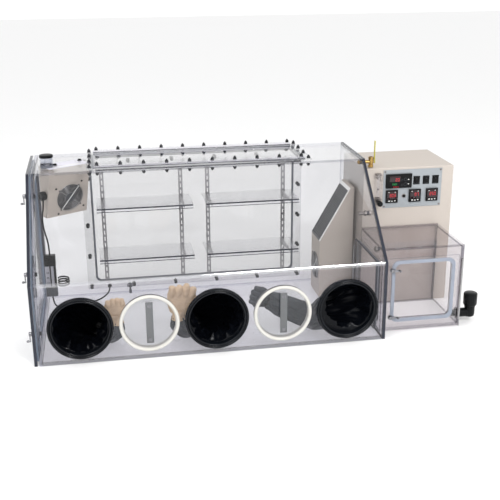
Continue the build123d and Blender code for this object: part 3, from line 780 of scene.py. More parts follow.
def glove(bm, place, width, length, spread, tip_lift, thumb, seed):
    """A limp hand that stands on its cuff. The frame's z runs from the wrist to the fingertips,
    x across the palm. Sizes are in metres."""
    random.seed(seed)
    hand = bmesh.new()
    palm = length * 0.56
    for i in range(7):
        share = i / 6
        bmesh.ops.create_uvsphere(
            hand, u_segments=20, v_segments=12, radius=1,
            matrix=Matrix.Translation((0, 0, palm * (0.06 + 0.86 * share)))
            @ Matrix.Diagonal((width * (0.36 + 0.15 * math.sin(share * 2.2)), width * 0.19, palm * 0.2, 1)))
    for i in range(4):
        across = (i - 1.5) / 1.5
        base = (across * width * 0.36, 0, palm * 0.80)
        reach = length * (0.42 - 0.07 * abs(across - 0.2) + 0.03 * random.random())
        tip = (across * width * (0.34 + spread), -0.010 + 0.006 * random.random(), palm * 0.80 + reach)
        finger(hand, base, tip, width * 0.15, bend=tip_lift * (0.6 + 0.5 * random.random()))
    finger(hand, (thumb * width * 0.28, 0, palm * 0.25), (thumb * width * 0.50, -0.010, palm * 0.98),
           width * 0.14,
           bend=0.004)
    hand = remeshed(hand, 1.8, smooth=3)
    for vert in hand.verts:
        wrinkle = noise.noise(vert.co * 90 + Vector((seed, 0, 0))) * 1.3 + noise.noise(vert.co * 220) * 0.5
        vert.co += vert.normal * wrinkle * MM
    add_part(bm, hand, place, 0)


def make_gloves():
    """The two latex hands with rolled cuffs, standing up behind the port panel."""
    cuffs = sorted((p for p in solids("latex_gloves") if p[1].z - p[0].z < 0.05), key=lambda p: p[0].x)
    palms = sorted((p for p in solids("latex_gloves") if p[1].z - p[0].z >= 0.05), key=lambda p: p[0].x)
    bm = bmesh.new()
    hands = ((0.0, 0.08, -0.006, 0.0, -1), (0.04, 0.20, -0.008, 9.0, 1))
    for seed, (cuff, palm, (spread, wide, lift, lean, thumb)) in enumerate(zip(cuffs, palms, hands)):
        low = Vector((middle(cuff).x, middle(cuff).y, cuff[0].z))
        high = Vector((middle(palm).x, middle(palm).y, palm[1].z))
        place = facing((low.x, low.y, cuff[1].z - 8 * MM), high - low, X)
        width = (palm[1].x - palm[0].x) * (1.0 + wide)
        glove(bm, place @ Matrix.Rotation(math.radians(lean), 4, "Y"), width, high.z - cuff[1].z + 10 * MM,
              spread,
              lift, thumb, seed + 3)
        wrist = facing(low, Z, X)
        lathe(bm, [(24, 2), (26, 0), (27.4, 1.5), (27.4, 4), (25.6, 5.5), (24.4, 9), (23.2, 16), (23.6, 24),
                   (25, 34),
                   (21, 36), (21, 8), (23, 2)], wrist, 0, 48, ribs=9, rib_depth=1.2)
    piece(bm, "latex_hands", ["latex"], nodes=["latex_gloves"], sharp=80)


def make_sleeves():
    for name, side, seed in (("left", 1, 4), ("centre", -1, 11)):
        node = f"sleeve_{name}"
        at = port_centre(node)
        x, z = at.x, at.z
        path = [(x, FRONT_Y + 0.004, z), (x + side * 0.004, FRONT_Y + 0.06, z - 0.006),
                (x + side * 0.014, FRONT_Y + 0.112, z - 0.026), (x + side * 0.060, FRONT_Y + 0.140, 0.060),
                (x + side * 0.100, FRONT_Y + 0.130, 0.048), (x + side * 0.118, FRONT_Y + 0.126, 0.062),
                (x + side * 0.120, FRONT_Y + 0.126, 0.092)]
        sleeve(f"{name}_sleeve", node, path, [93.5, 86, 68, 48, 42, 36, 25], seed)
    at = port_centre("sleeve_right")
    x, z = at.x, at.z
    path = [(x, FRONT_Y + 0.004, z), (x - 0.004, FRONT_Y + 0.034, z - 0.004), (x - 0.036, FRONT_Y + 0.062,
                                                                               z - 0.026),
            (x - 0.100, FRONT_Y + 0.096, 0.062), (x - 0.160, FRONT_Y + 0.106, 0.086),
            (x - 0.215, FRONT_Y + 0.116, 0.112), (x - 0.258, FRONT_Y + 0.121, 0.132)]
    sleeve("right_sleeve", "sleeve_right", path, [93.5, 84, 68, 47, 45, 41, 34], 21)
    bm = bmesh.new()
    place = facing((x - 0.250, FRONT_Y + 0.121, 0.128), (-0.90, 0.06, 0.42), (0.42, 0, 0.90))
    glove(bm, place, 0.074, 0.088, 0.02, -0.004, -1, 9)
    piece(bm, "black_glove", ["arm"], sharp=80)


def make_covers():
    """White rings on the closed ports, the flat handle bars and their screws."""
    bm = bmesh.new()
    profile = [(99.4, 14), (99.4, 0.2), (100.8, 0.2), (101, -3), (100.2, -5.6), (98.4, -7.4), (96, -8),
               (93.6, -7.6),
               (91, -6), (89.4, -3), (88.6, 0), (88, 14)]
    for pair in solids("cover_port_rings"):
        mid = middle(pair)
        lathe(bm, profile, facing((mid.x, FRONT_Y, mid.z), Y), steps=120, closed=True)
    piece(bm, "white_rings", ["white"], nodes=["cover_port_rings"], sharp=50)
    for side in ("left", "right"):
        low, high = box_mm(f"cover_handle_{side}")
        mid = (low + high) / 2
        bm = bmesh.new()
        front = low.y + 2.5
        slab(bm, (mid.x - 12, front, low.z), (mid.x + 12, front + 4, high.z), bevel=0.8)
        for z in (mid.z - 60, mid.z + 60):
            lathe(bm, [(0, 8), (6, 8), (6, 0.4), (6.8, 0)], spot(mid.x, front + 4, z, -Y) @
                  Matrix.Translation((0, 0, -8 * MM)), 0, 24)
            screw(bm, spot(mid.x, front, z, -Y), 1, radius=4.6, tall=2.4)
        piece(bm, f"handle_bar_{side}", ["bar", "chrome"], f"cover_{side}",
              [f"cover_handle_{side}"])


# ---------------------------------------------------------------- fans
ROTOR_BACK = 12.0  # from the face of a fan to the middle of its rotor
FAN_BOX_RUN = 165.0  # width of the fan box along its face
FAN_R = (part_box("fan_rotor_right")[1][2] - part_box("fan_rotor_right")[0][2]) / 2 / MM


def fan_frame():
    """The frame of the roof fan's face: z out of the face, at its middle."""
    joint = JOINTS["fan_rotor_left_spin"]
    out = Vector(joint["axis"])
    out = out if out.y < 0 else -out
    return facing(Vector(joint["pos_m"]) + out * ROTOR_BACK * MM, out, X)


def wire_guard(bm, place, tilt):
    """Concentric round wires on two struts, with a rim and a boss."""
    for k in range(7):
        wire(bm, circle(shifted(place, 0, 0, 1.6), (FAN_R + 4.4 - 5.4 * k) * MM), 0.9 * MM, 0, 8,
             True)
    for k, turn in enumerate((tilt, tilt + 90)):
        arm = Vector((math.cos(math.radians(turn)), math.sin(math.radians(turn)), 0)) * (FAN_R + 7) * MM
        lift = Vector((0, 0, (3.1 if k == 0 else 0.9) * MM))
        wire(bm, [place @ (-arm + lift), place @ lift, place @ (arm + lift)], 1.25 * MM, 1 if k == 0 else 0,
             10)
        for end in (-1, 1):
            eye = place @ Matrix.Translation(arm * end + Vector((0, 0, 0.8 * MM)))
            wire(bm, circle(eye, 3.2 * MM, 24), 1.1 * MM, 0, 8, True)
            screw(bm, eye, 2, radius=2.8, tall=2.0)
    lathe(bm, [(0, 2.4), (19, 2.4), (21, 1.8), (21.5, 0.4)], place, 3, 40)


def make_rotor(name, place, body, node):
    """Seven twisted blades round a hub."""
    bm = bmesh.new()
    lathe(bm, [(0, 8), (13, 8), (15.6, 6.5), (16, 4), (16, -8), (0, -8)], place, 0, 40)
    for i in range(7):
        part = bmesh.new()
        grid = []
        for a in range(7):
            reach = 15 + (FAN_R - 15.5) * a / 6
            row = []
            for b in range(9):
                along = (b / 8 - 0.5) * (0.72 - 0.10 * a / 6)
                height = (b / 8 - 0.5) * (13 - 4 * a / 6) + 1.5 * math.sin(math.pi * b / 8)
                turn = 2 * math.pi * i / 7 + along + 0.12 * a / 6
                row.append(part.verts.new(Vector((reach * math.cos(turn), reach * math.sin(turn),
                                                  height)) * MM))
            grid.append(row)
        for r0, r1 in zip(grid, grid[1:]):
            for b in range(8):
                part.faces.new((r0[b], r1[b], r1[b + 1], r0[b + 1]))
        bmesh.ops.recalc_face_normals(part, faces=part.faces)
        bmesh.ops.solidify(part, geom=part.faces[:], thickness=1.2 * MM)
        add_part(bm, part, place, 0)
    piece(bm, name, ["black"], body, [node], sharp=45)


def make_fans():
    paint("beige", "fan_box", "circulation_unit")
    face = fan_frame()
    spin = JOINTS["fan_rotor_right_spin"]
    side = facing(Vector(spin["pos_m"]) - X * ROTOR_BACK * MM, -X, Y)
    bm = bmesh.new()
    wire_guard(bm, face, 45)
    wire_guard(bm, side, 45)
    piece(bm, "finger_guards", ["steel", "key", "dark_chrome", "grey"],
          nodes=["fan_guards"])
    make_rotor("left_rotor", shifted(face, 0, 0, -ROTOR_BACK), "fan_rotor_left", "fan_rotor_left")
    make_rotor("right_rotor", shifted(side, 0, 0, -ROTOR_BACK), "fan_rotor_right", "fan_rotor_right")

    # a black fan frame lines each hole, behind the blades
    bm = bmesh.new()
    for place in (face, side):
        lathe(bm, [(FAN_R + 2.9, -1), (FAN_R + 1.2, -1), (FAN_R + 0.8, -4), (FAN_R + 0.8, -23), (14, -24),
                   (0, -24),
                   (0, -25), (14, -25), (FAN_R + 2.9, -24.5)], place, 0, 72)
    piece(bm, "fan_frames", ["black"])

    # the screws in the face of the sheet metal box
    bm = bmesh.new()
    for x, y in ((-52.5, 52.5), (52.5, 52.5), (-52.5, -52.5), (52.5, -52.5)):
        screw(bm, shifted(face, x, y, 0), 0, radius=2.6, tall=1.6)
    piece(bm, "fan_box_screws", ["dark_chrome"])

    # a pale lilac plate between the box and the roof, as painted reflection of the roof panel, with a white strip
    # on it as a painted highlight
    bm = bmesh.new()
    low, high = box_of("fan_box")
    run = (face.to_3x3() @ X).normalized()
    back = Z.cross(run)
    deep = (high.y - low.y - run.y * FAN_BOX_RUN * MM) / back.y
    corner = facing((low.x - back.x * deep, low.y, high.z), Z, run)
    slab(bm, (2, 2, 0.1), (FAN_BOX_RUN - 2, deep / MM - 2, 0.9), corner, 0, 0.2)
    # the white strip is a painted highlight
    slab(bm, (30, 12, 0.8), (128, 24, 1.3), corner, 1, 0.2)
    piece(bm, "fan_box_top_plate", ["plate", "key"])

    # the big knob, the gland, the floor gland and the two roof bolts
    bm = bmesh.new()
    run = face.to_3x3() @ X
    for low, high in solids("cable_glands"):
        mid, size = (low + high) / 2, high - low
        if mid.z > ROOF_TOP:
            lathe(bm, [(7.5, 0), (7.5, 1), (6, 1.2), (6, 4.6), (4.8, 6), (0, 6)], facing((mid.x, mid.y,
                                                                                          low.z), Z), 0, 6)
            lathe(bm, [(0, 0), (8.4, 0), (8.4, 1), (6, 1)], facing((mid.x, mid.y, low.z), Z), 0, 28)
        elif mid.y > REAR_Y - 0.05 and size.y < 0.03:
            lathe(bm, [(0, 0), (8, 0), (8, 4), (6.6, 4.4), (6.6, 10), (4.2, 14), (3.2, 14)],
                  facing((mid.x, high.y, mid.z), -Y), 0, 32, ribs=8, rib_depth=0.5)
        else:
            left = mid.x < face.translation.x - 0.04
            out = -run if left else run
            radius = 17.0 if left else 11.0
            deep = 22.0 if left else 12.0
            lathe(bm, [(0, 0), (radius * 0.86, 0), (radius * 0.9, deep * 0.2), (radius, deep * 0.3),
                       (radius, deep * 0.84), (radius * 0.88, deep), (radius * 0.5, deep), (radius * 0.45,
                                                                                            deep - 2),
                       (0, deep - 2)],
                  facing(mid - out * deep / 2 * MM, out), 0, 48, ribs=16, rib_depth=0.7)
    piece(bm, "glands_and_knob", ["black"], nodes=["cable_glands"])


def make_grille():
    """The slanted outlet: a frame, slats with rows of holes between them, and a light top edge."""
    low, high = box_of("circulation_grille")
    # the plate's long run rises to the right in the plane of x and z
    run = Vector((high.x - low.x, 0, high.z - low.z)).normalized()
    out = Vector((-run.z, 0, run.x))
    thick = 3.9
    length = (Vector((high.x - low.x, 0, high.z - low.z)).length / MM) - thick * 1.4
    width = (high.y - low.y) / MM
    place = facing((low + high) / 2, out, run)
    bm = bmesh.new()
    half_l, half_w, rim = length / 2, width / 2, 7
    slab(bm, (-half_l, -half_w, -1.9), (-half_l + rim, half_w, 1.9), place, 0, 0.5)
    for s in (-1, 1):
        slab(bm, (-half_l, s * half_w - 1.3, -2), (half_l, s * half_w + 1.3, 2.3), place, 1, 0.4)
    slab(bm, (half_l - 12, -half_w, 0), (half_l + 1, half_w, 2.6), place, 1, 0.4)
    slab(bm, (half_l - rim, -half_w, -1.9), (half_l, half_w, 1.9), place, 1, 0.5)
    for s in (-1, 1):
        slab(bm, (-half_l, s * half_w - (rim if s > 0 else 0), -1.9), (half_l,
                                                                       s * half_w + (0 if s > 0 else rim), 1.9),
             place, 0, 0.5)
    columns, rows = 30, 12
    pitch_l, pitch_w = (length - 2 * rim) / columns, (width - 2 * rim) / rows
    for i in range(1, columns):
        u = -half_l + rim + i * pitch_l
        slab(bm, (u - 1.4, -half_w + rim, -0.9), (u + 1.4, half_w - rim, 0.9), place, 0, 0)
    for j in range(1, rows):
        v = -half_w + rim + j * pitch_w
        slab(bm, (-half_l + rim, v - 1.5, -0.8), (half_l - rim, v + 1.5, 1.0), place, 0, 0)
    slab(bm, (-half_l + 2, -half_w + 2, -1.95), (half_l - 2, half_w - 2, -1.5), place, 2, 0)
    piece(bm, "perforated_grille", ["grille", "key", "black"],
          nodes=["circulation_grille"])


# ---------------------------------------------------------------- latches and hinges
def make_latch(name, joint, arm_dir, body):
    """A quarter-turn latch: a washer, a boss, a bent lever and a ball grip."""
    place = joint_place(joint, arm_dir)
    bm = bmesh.new()
    lathe(bm, [(0, 0), (9, 0), (9, 1.2), (7.4, 1.4)], place, 0, 36)
    lathe(bm, [(7, 1.2), (7, 8.6), (6, 10), (3.6, 10.2), (3.2, 9.4), (0, 9.2)], place, 0, 36)
    arm = [(-6, -4.6), (8, -4.6), (22, -3.4), (28, -3), (29.6, 0), (28, 3), (22, 3.4), (8, 4.6), (-6, 4.6)]
    prism(bm, arm, 4, shifted(place, 0, 0, 5), 0, 0.8)
    lathe(bm, [(0, 4.6), (2.4, 5), (2.2, 9), (3.4, 11), (4.2, 14), (3.8, 17), (2.4, 18.8), (0, 19.2)],
          shifted(place, 26, 0, 0), 0, 28)
    piece(bm, name, ["chrome"], body, [body])
    return place


def make_latches():
    keepers = bmesh.new()
    for i in (1, 2, 3):
        place = make_latch(f"end_latch_{i}", f"door_latch_{i}_turn", -Z, f"door_latch_{i}")
        # the latch's dog hooks behind a small keeper inside the opening
        at = place.translation + X * (22 + 6) * MM
        slab(keepers, (at.x / MM - 4, at.y / MM - 5, at.z / MM - 7), (at.x / MM + 4, at.y / MM + 5,
                                                                      at.z / MM + 5), bevel=1)
    piece(keepers, "latch_keepers", ["dark_chrome"], "access_door")
    for i in (1, 2):
        make_latch(f"lock_latch_{i}", f"airlock_latch_{i}_turn", X, f"airlock_latch_{i}")


def make_hinges():
    """Piano hinges: knuckles on a pin, and a fixed leaf."""
    bm = bmesh.new()
    for low, high in solids("hinges"):
        lo, hi = low / MM, high / MM
        outer = lo.x > WALL_X1 / MM
        access = lo.x < WALL_X0 / MM
        if outer:
            pin, radius = Vector((lo.x + 3.4, lo.y + 3.4, 0)), 3.4
            slab(bm, (pin.x + 1, hi.y - 2.6, lo.z), (hi.x, hi.y, hi.z), bevel=0.4)
            slab(bm, (pin.x - 1, pin.y, lo.z), (pin.x + 2, hi.y, hi.z), bevel=0.4)
        elif access:
            pin, radius = Vector((lo.x + 4, hi.y - 4, 0)), 4.0
            slab(bm, (pin.x, lo.y, lo.z), (hi.x, lo.y + 2.4, hi.z), bevel=0.4)
            slab(bm, (pin.x, lo.y + 1, lo.z), (pin.x + 2.6, pin.y, hi.z), bevel=0.4)
        else:
            pin, radius = Vector((lo.x + 3.4, (lo.y + hi.y) / 2, 0)), 3.4
            slab(bm, (pin.x, pin.y - 1.4, lo.z), (hi.x, pin.y + 1.4, hi.z), bevel=0.4)
        count = round((hi.z - lo.z) / 20)
        tall = (hi.z - lo.z) / count
        for k in range(count):
            base = spot(pin.x, pin.y, lo.z + k * tall, Z)
            lathe(bm, [(0, 0.4), (radius - 0.4, 0.4), (radius, 0.9), (radius, tall - 0.9), (radius - 0.4,
                                                                                            tall - 0.4),
                       (0, tall - 0.4)], base, 0, 24)
    piece(bm, "piano_hinges", ["steel"], nodes=["hinges"])


# ---------------------------------------------------------------- control panel
SEGMENTS = {"0": "abcdef", "1": "bc", "2": "abged", "3": "abgcd", "4": "fgbc", "5": "afgcd", "6": "afgedc",
            "7": "abc", "8": "abcdefg", "9": "abcdfg"}
STROKES = {"a": ((0, 2), (1, 2)), "b": ((1, 1), (1, 2)), "c": ((1, 0), (1, 1)), "d": ((0, 0), (1, 0)),
           "e": ((0, 0), (0, 1)), "f": ((0, 1), (0, 2)), "g": ((0, 1), (1, 1))}


def digits(bm, text, x, z, tall, front, mat):
    """Seven-segment figures that lie just proud of a face of constant y, in millimetres."""
    half, thick = tall / 2, tall * 0.11
    for k, figure in enumerate(text):
        left = x + k * tall * 0.78
        for stroke in SEGMENTS[figure]:
            (x0, z0), (x1, z1) = STROKES[stroke]
            low = (left + x0 * half * 0.9 - thick / 2, front - 0.5, z + z0 * half - thick / 2)
            high = (left + x1 * half * 0.9 + thick / 2, front + 0.3, z + z1 * half + thick / 2)
            slab(bm, low, high, mat=mat, bevel=0.15)


def arrow_key(bm, x, z, front, size, up):
    """A small triangular or oblong key."""
    place = spot(x, front + 0.4, z, -Y, X)
    if up is None:
        outline = [(-size, -size * 0.45), (size, -size * 0.45), (size, size * 0.45), (-size, size * 0.45)]
    else:
        tip = size * 0.7 * (1 if up else -1)
        outline = [(-size, -tip * 0.8), (size, -tip * 0.8), (0, tip)]
        outline = outline if up else outline[::-1]
    prism(bm, outline, 1.1, place, 3, 0.25)


def controller(bm, low, high, text):
    """A square panel controller: bezel, dark window, red figures and three white keys."""
    front = low.y
    slab(bm, low, (high.x, high.y, high.z), bevel=1.6)
    slab(bm, (low.x + 4, front - 0.3, low.z + 14), (high.x - 4, front + 0.5, high.z - 4), mat=1, bevel=0.4)
    tall = 11.0
    digits(bm, text, high.x - 7 - len(text) * tall * 0.78, low.z + 24, tall, front - 0.3, 2)
    for x in (low.x + 10, high.x - 12):
        slab(bm, (x - 1.8, front - 0.5, high.z - 8.6), (x + 1.8, front, high.z - 6.4), mat=3, bevel=0.3)
    mid = (low.x + high.x) / 2
    for x, up in ((mid - 11, None), (mid, True), (mid + 11, False)):
        arrow_key(bm, x, low.z + 8, front, 3.6, up)


def make_instruments():
    paint("aluminium", "control_panel")
    paint("cream", "control_box")
    boxes = [(low / MM, high / MM) for low, high in solids("meters")]
    bm = bmesh.new()
    texts = iter(("303", "07", "250"))
    for low, high in boxes:
        width = high.x - low.x
        if width > 80:
            front = low.y
            slab(bm, low, high, bevel=2)
            slab(bm, (low.x + 13, front - 0.3, low.z + 25), (low.x + 54, front + 0.5, high.z - 7), mat=1,
                 bevel=0.4)
            digits(bm, "20", low.x + 36, low.z + 27.5, 11, front - 0.3, 2)
            digits(bm, "8888", low.x + 24, low.z + 13, 6, front, 4)
            for k in range(4):
                x = low.x + 28 + 5.6 * k
                slab(bm, (x, front - 0.4, low.z + 4.4), (x + 2.8, front + 0.4, low.z + 6.6), mat=2, bevel=0.2)
            for row, z in enumerate((low.z + 33, low.z + 15)):
                lathe(bm, [(6.2, 0), (6.2, 0.7), (5.2, 0.7), (5.2, 0)],
                      spot(low.x + 74, front, z, -Y), 5, 36)
                lathe(bm, [(3.8, 0), (3.8, 0.6), (3.0, 0.6), (3.0, 0)],
                      spot(low.x + 61, front, z - 2, -Y), 5, 30)
                arrow_key(bm, low.x + 86, z, front, 3.2, row == 0)
        elif width > 40:
            controller(bm, low, high, next(texts))
        else:
            rim = 2.5
            slab(bm, low, (high.x, high.y, low.z + rim), bevel=0.5)
            slab(bm, (low.x, low.y, high.z - rim), high, bevel=0.5)
            slab(bm, low, (low.x + rim, high.y, high.z), bevel=0.5)
            slab(bm, (high.x - rim, low.y, low.z), high, bevel=0.5)
    piece(bm, "instruments", ["black", "smoke", "red_digit", "key", "green_digit", "grey"],
          nodes=["meters"])

    for i in (1, 2, 3):
        low, high = box_mm(f"rocker_{i}")
        mid_z = (low.z + high.z) / 2
        bm = bmesh.new()
        outline = [(low.z, low.y + 1.6), (mid_z, low.y), (high.z, low.y + 0.2), (high.z, high.y), (low.z,
                                                                                                   high.y)]
        turned = [(y, z) for z, y in outline]
        place = spot(low.x, 0, 0, X, Y)
        prism(bm, turned, high.x - low.x, place, 0, 0.5)
        lathe(bm, [(2.4, 0), (2.4, 0.5), (1.8, 0.5), (1.8, 0)],
              spot((low.x + high.x) / 2, low.y + 0.3, mid_z + 6, -Y), 1, 24)
        piece(bm, f"rocker_key_{i}", ["black", "grey"], f"rocker_{i}", [f"rocker_{i}"])

    low, high = box_of("panel_button")
    mid = (low + high) / 2
    bm = bmesh.new()
    place = facing((mid.x, high.y, mid.z), -Y)
    lathe(bm, [(0, 0), (5, 0), (5, 7.4), (4.4, 8.6), (3, 9), (0, 8.7)], place, 0, 36)
    piece(bm, "push_button", ["black"], "panel_button", ["panel_button"])

    bm = bmesh.new()
    low, high = box_of("control_panel")
    for x in (low.x + 6 * MM, high.x - 6 * MM):
        for z in (low.z + 6 * MM, high.z - 6 * MM):
            screw(bm, facing((x, low.y, z), -Y), 0, radius=2.6, tall=1.8)
    lathe(bm, [(5.4, 0), (8, 0), (8, 0.8), (5.6, 1.4), (5.4, 0.8)], facing((mid.x, low.y, mid.z), -Y), 0, 36)
    piece(bm, "panel_screws", ["nickel"])


def make_rotameter():
    """A clear block with a bored tube, printed divisions, a float and nickel ends."""
    low, high = box_mm("rotameter")
    mid = (low + high) / 2
    bm = bmesh.new()
    slab(bm, low, high, bevel=1.2)
    lathe(bm, [(5, 0), (5, high.z - low.z - 20), (4.4, high.z - low.z - 20), (4.4, 0)],
          spot(mid.x, mid.y, low.z + 10, Z), 1, 28)
    lathe(bm, [(0, 0), (3.2, 3), (3.6, 7), (0, 7)], spot(mid.x, mid.y, low.z + 36, Z), 2, 24)
    for k in range(13):
        z = low.z + 16 + 5 * k
        long = 5 if k % 3 == 0 else 3
        slab(bm, (mid.x + 5, low.y - 0.2, z), (mid.x + 5 + long, low.y + 0.3, z + 0.8), mat=3, bevel=0)
    for z in (low.z, high.z - 9):
        slab(bm, (mid.x - 9, low.y + 3, z + 1), (mid.x + 9, high.y - 1, z + 8), mat=2, bevel=0.8)
    piece(bm, "flow_meter", ["clear", "roof", "nickel", "grey"], nodes=["rotameter"])
    place = joint_place("rotameter_knob_turn", X)
    low, high = box_of("rotameter_knob")
    back = facing((place.translation.x, high.y, place.translation.z), -Y)
    deep = (high.y - low.y) / MM
    bm = bmesh.new()
    lathe(bm, [(0, 0), (5, 0), (5, deep - 20), (9.4, deep - 19), (10.5, deep - 16), (10.5, deep - 3), (9.2,
                                                                                                       deep - 0.6),
               (8, deep), (0, deep - 0.8)], back, 0, 72, ribs=18, rib_depth=0.6)
    piece(bm, "flow_knob", ["black"], "rotameter_knob", ["rotameter_knob"])


def make_valve():
    """A brass ball valve with a dipped lever, standing upright."""
    place = joint_place("valve_lever_turn", Z)
    at = place.translation
    bm = bmesh.new()
    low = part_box("valve_body")[0]
    along = facing((low[0], at.y, at.z), X)
    wall = (WALL_X1 - low[0]) / MM
    reach = (at.x - low[0]) / MM
    lathe(bm, [(3.5, 0), (6, 0), (6.5, 1), (6.5, wall - 0.1), (6.5, wall + 3), (6.5, reach), (3.5, reach)],
          along, 0, 32)
    lathe(bm, [(6.2, wall - 14), (9, wall - 14), (9, wall - 10), (6.2, wall - 10)], along, 0, 6)
    lathe(bm, [(6.2, wall), (10, wall), (10, wall + 5), (6.2, wall + 5)], along, 0, 6)
    upright = facing(at, Z)
    lathe(bm, [(0, -20), (6, -20), (6, -20.2), (9.6, -20.2), (9.6, -12), (7.4, -11), (8.4, -8), (9.2, -3),
               (9.4, 0),
               (9.2, 3), (8.4, 8), (7.4, 10), (9.6, 10), (9.6, 18), (6.6, 18), (6.4, 12), (0,
                                                                                           12)], upright, 0, 36)
    lathe(bm, [(0, 0), (5.4, 0), (5.4, 9.4), (0, 9.4)], facing(at, X), 0, 6)
    piece(bm, "ball_valve", ["brass"], nodes=["valve_body"])
    lo, hi = box_mm("valve_lever")
    y, z = at.y / MM, at.z / MM
    bm = bmesh.new()
    outline = [(-6.4, -6), (6.4, -6), (7, 4), (4.6, 14), (4.6, 66), (5.6, 72), (4.4, 77.6), (-4.4, 77.6),
               (-5.6, 72),
               (-4.6, 66), (-4.6, 14), (-7, 4)]
    plane = spot(hi.x - 4.2, y, z, X, Y)
    prism(bm, outline, 3.0, plane, 0, 0.9)
    lathe(bm, [(0, 0), (3.5, 0), (3.5, 6.8), (0, 6.8)], spot(lo.x + 0.1, y, z, X), 1, 24)
    piece(bm, "valve_handle", ["yellow", "chrome"], "valve_lever", ["valve_lever"])


def make_elbow():
    """The black purge elbow with its ribbed cap."""
    low, high = box_of("elbow_fitting")
    radius = 25.0
    cx, cy = high.x - radius * MM, (low.y + high.y) / 2
    z_pipe = low.z + 19 * MM
    bm = bmesh.new()
    shell_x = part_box("airlock_shell")[1][0]
    lathe(bm, [(0, 0), (11.8, 0), (11.8, (shell_x - low.x) / MM), (19, (shell_x - low.x) / MM + 0.2),
               (19, (shell_x - low.x) / MM + 9), (16.5, (shell_x - low.x) / MM + 11),
               (16.5, (cx - low.x) / MM)], facing((low.x, cy, z_pipe), X), 0, 40)
    points = [Vector((cx - 14 * MM, cy, z_pipe)), Vector((cx - 5 * MM, cy, z_pipe + 0.5 * MM)),
              Vector((cx - 1 * MM, cy, z_pipe + 5 * MM)), Vector((cx, cy, z_pipe + 16 * MM)),
              Vector((cx, cy, z_pipe + 34 * MM))]
    wire(bm, points, 18 * MM, 0, 32)
    lathe(bm, [(0, -17), (12, -16.6), (17, -13), (19, -6), (19, 24), (21, 25), (21, 28), (23.5, 30), (25, 33),
               (25, 70), (24, 74), (21, 76), (0, 76)], facing((cx, cy,
                                                               z_pipe), Z), 0, 72, ribs=18, rib_depth=0.8)
    piece(bm, "purge_elbow", ["black"], nodes=["elbow_fitting"])


def make_vent():
    """The short vent tube through the roof and its cap."""
    low, high = box_of("vent_tube")
    mid = (low + high) / 2
    deep = (high.z - low.z) / MM
    base = facing((mid.x, mid.y, low.z), Z)
    bm = bmesh.new()
    r = (high.x - low.x) / 2 / MM
    lathe(bm, [(r, 0), (r, deep - 0.6), (r - 0.6, deep), (r - 2.8, deep), (r - 3.3, deep - 0.6), (r - 3.3,
                                                                                                  0)], base, 0,
          64, closed=True)
    piece(bm, "roof_vent", ["frosted"], nodes=["vent_tube"])
    low, high = box_of("tube_cap")
    base = facing((mid.x, mid.y, low.z), Z)
    deep = (high.z - low.z) / MM
    bm = bmesh.new()
    r = (high.x - low.x) / 2 / MM
    lathe(bm, [(r - 1.6, 0), (r - 0.4, 0), (r, 0.8), (r, deep - 2.4), (r - 1.2, deep - 1), (r - 5, deep),
               (0, deep),
               (0, deep - 5.6), (r - 1.7, deep - 5.8)], base, 0, 80, ribs=40, rib_depth=0.35)
    piece(bm, "vent_cap", ["black"], "tube_cap", ["tube_cap"])


def make_fittings():
    """The through fitting, the plug and the stopcock, and the flow meter's foot."""
    bm = bmesh.new()
    for low, high in solids("wall_fittings"):
        lo, hi = low / MM, high / MM
        mid, size = (lo + hi) / 2, hi - lo
        if mid.x > WALL_X1 / MM + 50:
            slab(bm, lo, hi, bevel=1.2)
        elif mid.x < 0:
            place = spot(mid.x, hi.y, mid.z, -Y)
            lathe(bm, [(0, 0), (6, 0), (6, 10), (7.4, 10.6), (7.4, 23), (6, 24), (5, 26), (0, 26)], place,
                  1, 32)
            lathe(bm, [(4.6, -11.6), (6, -11.6), (7, -10), (7, 10), (6, 11.6), (4.6, 11.6)],
                  spot(mid.x, hi.y - 17, mid.z, X), 1, 32)
        else:
            place = spot(lo.x, mid.y, mid.z, X)
            deep = size.x
            wall = WALL_X1 / MM - lo.x
            lathe(bm, [(3, 0), (5.6, 0), (6.4, 1.4), (6.4, wall - 18)], place, 0, 32)
            lathe(bm, [(4, wall - 16), (11, wall - 16), (11, wall - 10.2), (4, wall - 10.2)], place, 0, 6)
            lathe(bm, [(6.4, wall - 18), (6.4, deep - 1.4), (5.6, deep), (3, deep)], place, 0, 32)
            if deep > wall + 4:
                lathe(bm, [(4, wall + 0.1), (11, wall + 0.1), (11, wall + 6), (4, wall + 6)], place, 0, 6)
    piece(bm, "pipe_fittings", ["nickel", "chrome"], nodes=["wall_fittings"])
    place = joint_place("stopcock_lever_turn", X)
    lo, hi = box_mm("stopcock_lever")
    at = place.translation / MM
    bm = bmesh.new()
    lathe(bm, [(0, 0), (6, 0), (6, 4.6), (5, 5.7), (0, 5.7)], spot(at.x, hi.y, at.z, -Y), 0, 32)
    drop = at.z - lo.z
    outline = [(-2.6, 2), (2.6, 2), (3.6, -drop * 0.3), (5.2, -drop * 0.62), (5.4, -drop * 0.82), (3.8,
                                                                                                   -drop),
               (-3.8, -drop), (-5.4, -drop * 0.82), (-5.2, -drop * 0.62), (-3.6, -drop * 0.3)]
    prism(bm, outline[::-1], 4, spot(at.x, lo.y + 4.2, at.z, -Y, X), 0, 1.2)
    piece(bm, "stopcock_tap", ["grey"], "stopcock_lever", ["stopcock_lever"])


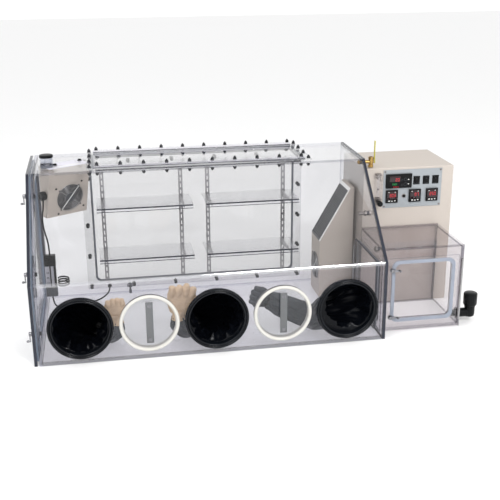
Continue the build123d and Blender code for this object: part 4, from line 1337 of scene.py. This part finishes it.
def make_outlet():
    """The outlet block by the end wall: grey ends, a silver front with a dark slot."""
    lo, hi = box_mm("outlet_block")
    bm = bmesh.new()
    third = (hi.z - lo.z) / 4
    slab(bm, lo, (hi.x, hi.y, lo.z + third), bevel=2)
    slab(bm, (lo.x, lo.y, hi.z - third), hi, mat=1, bevel=2)
    slab(bm, (lo.x + 1, lo.y + 1, lo.z + third - 1), (hi.x - 1, hi.y - 1, hi.z - third + 1), mat=1, bevel=1)
    slab(bm, (lo.x + 1.5, lo.y, lo.z + third), (lo.x + 18, lo.y + 3, hi.z - third), mat=2, bevel=0.8)
    slab(bm, (lo.x + 23, lo.y, lo.z + third), (hi.x - 9, lo.y + 3, hi.z - third), mat=3, bevel=0.8)
    for k in range(3):
        z = lo.z + third + 12 + 20 * k
        slab(bm, (lo.x + 7, lo.y - 0.5, z), (lo.x + 9, lo.y + 1, z + 7), mat=1, bevel=0.2)
        slab(bm, (lo.x + 12, lo.y - 0.5, z), (lo.x + 14, lo.y + 1, z + 7), mat=1, bevel=0.2)
    piece(bm, "outlet", ["grey", "black", "silver", "silver"], nodes=["outlet_block"])


def make_gaskets():
    """The end door's, the inner door's and the airlock door's gaskets differ in colour."""
    bm = bmesh.new()
    bm.from_mesh(bpy.data.objects["door_gaskets"].data)
    bmesh.ops.remove_doubles(bm, verts=bm.verts, dist=1e-5)
    for face in bm.faces:
        x = face.calc_center_median().x
        face.material_index = 0 if x < 0 else (1 if x > WALL_X1 else 2)
    piece(bm, "foam_gaskets", ["gasket", "pale_gasket", "grey_gasket"],
          nodes=["door_gaskets"],
          sharp=30)


# ---------------------------------------------------------------- everything, in order
make_camera()
make_studio()
make_leads()
make_chamber()
make_hatch()
make_fasteners()
make_shelves()
make_port_rings()
make_sleeves()
make_gloves()
make_covers()
make_fans()
make_grille()
make_latches()
make_hinges()
make_instruments()
make_rotameter()
make_valve()
make_elbow()
make_vent()
make_fittings()
make_outlet()
make_gaskets()
paint("grey_gasket", "cover_gaskets")
paint("steel", "shelf_supports")
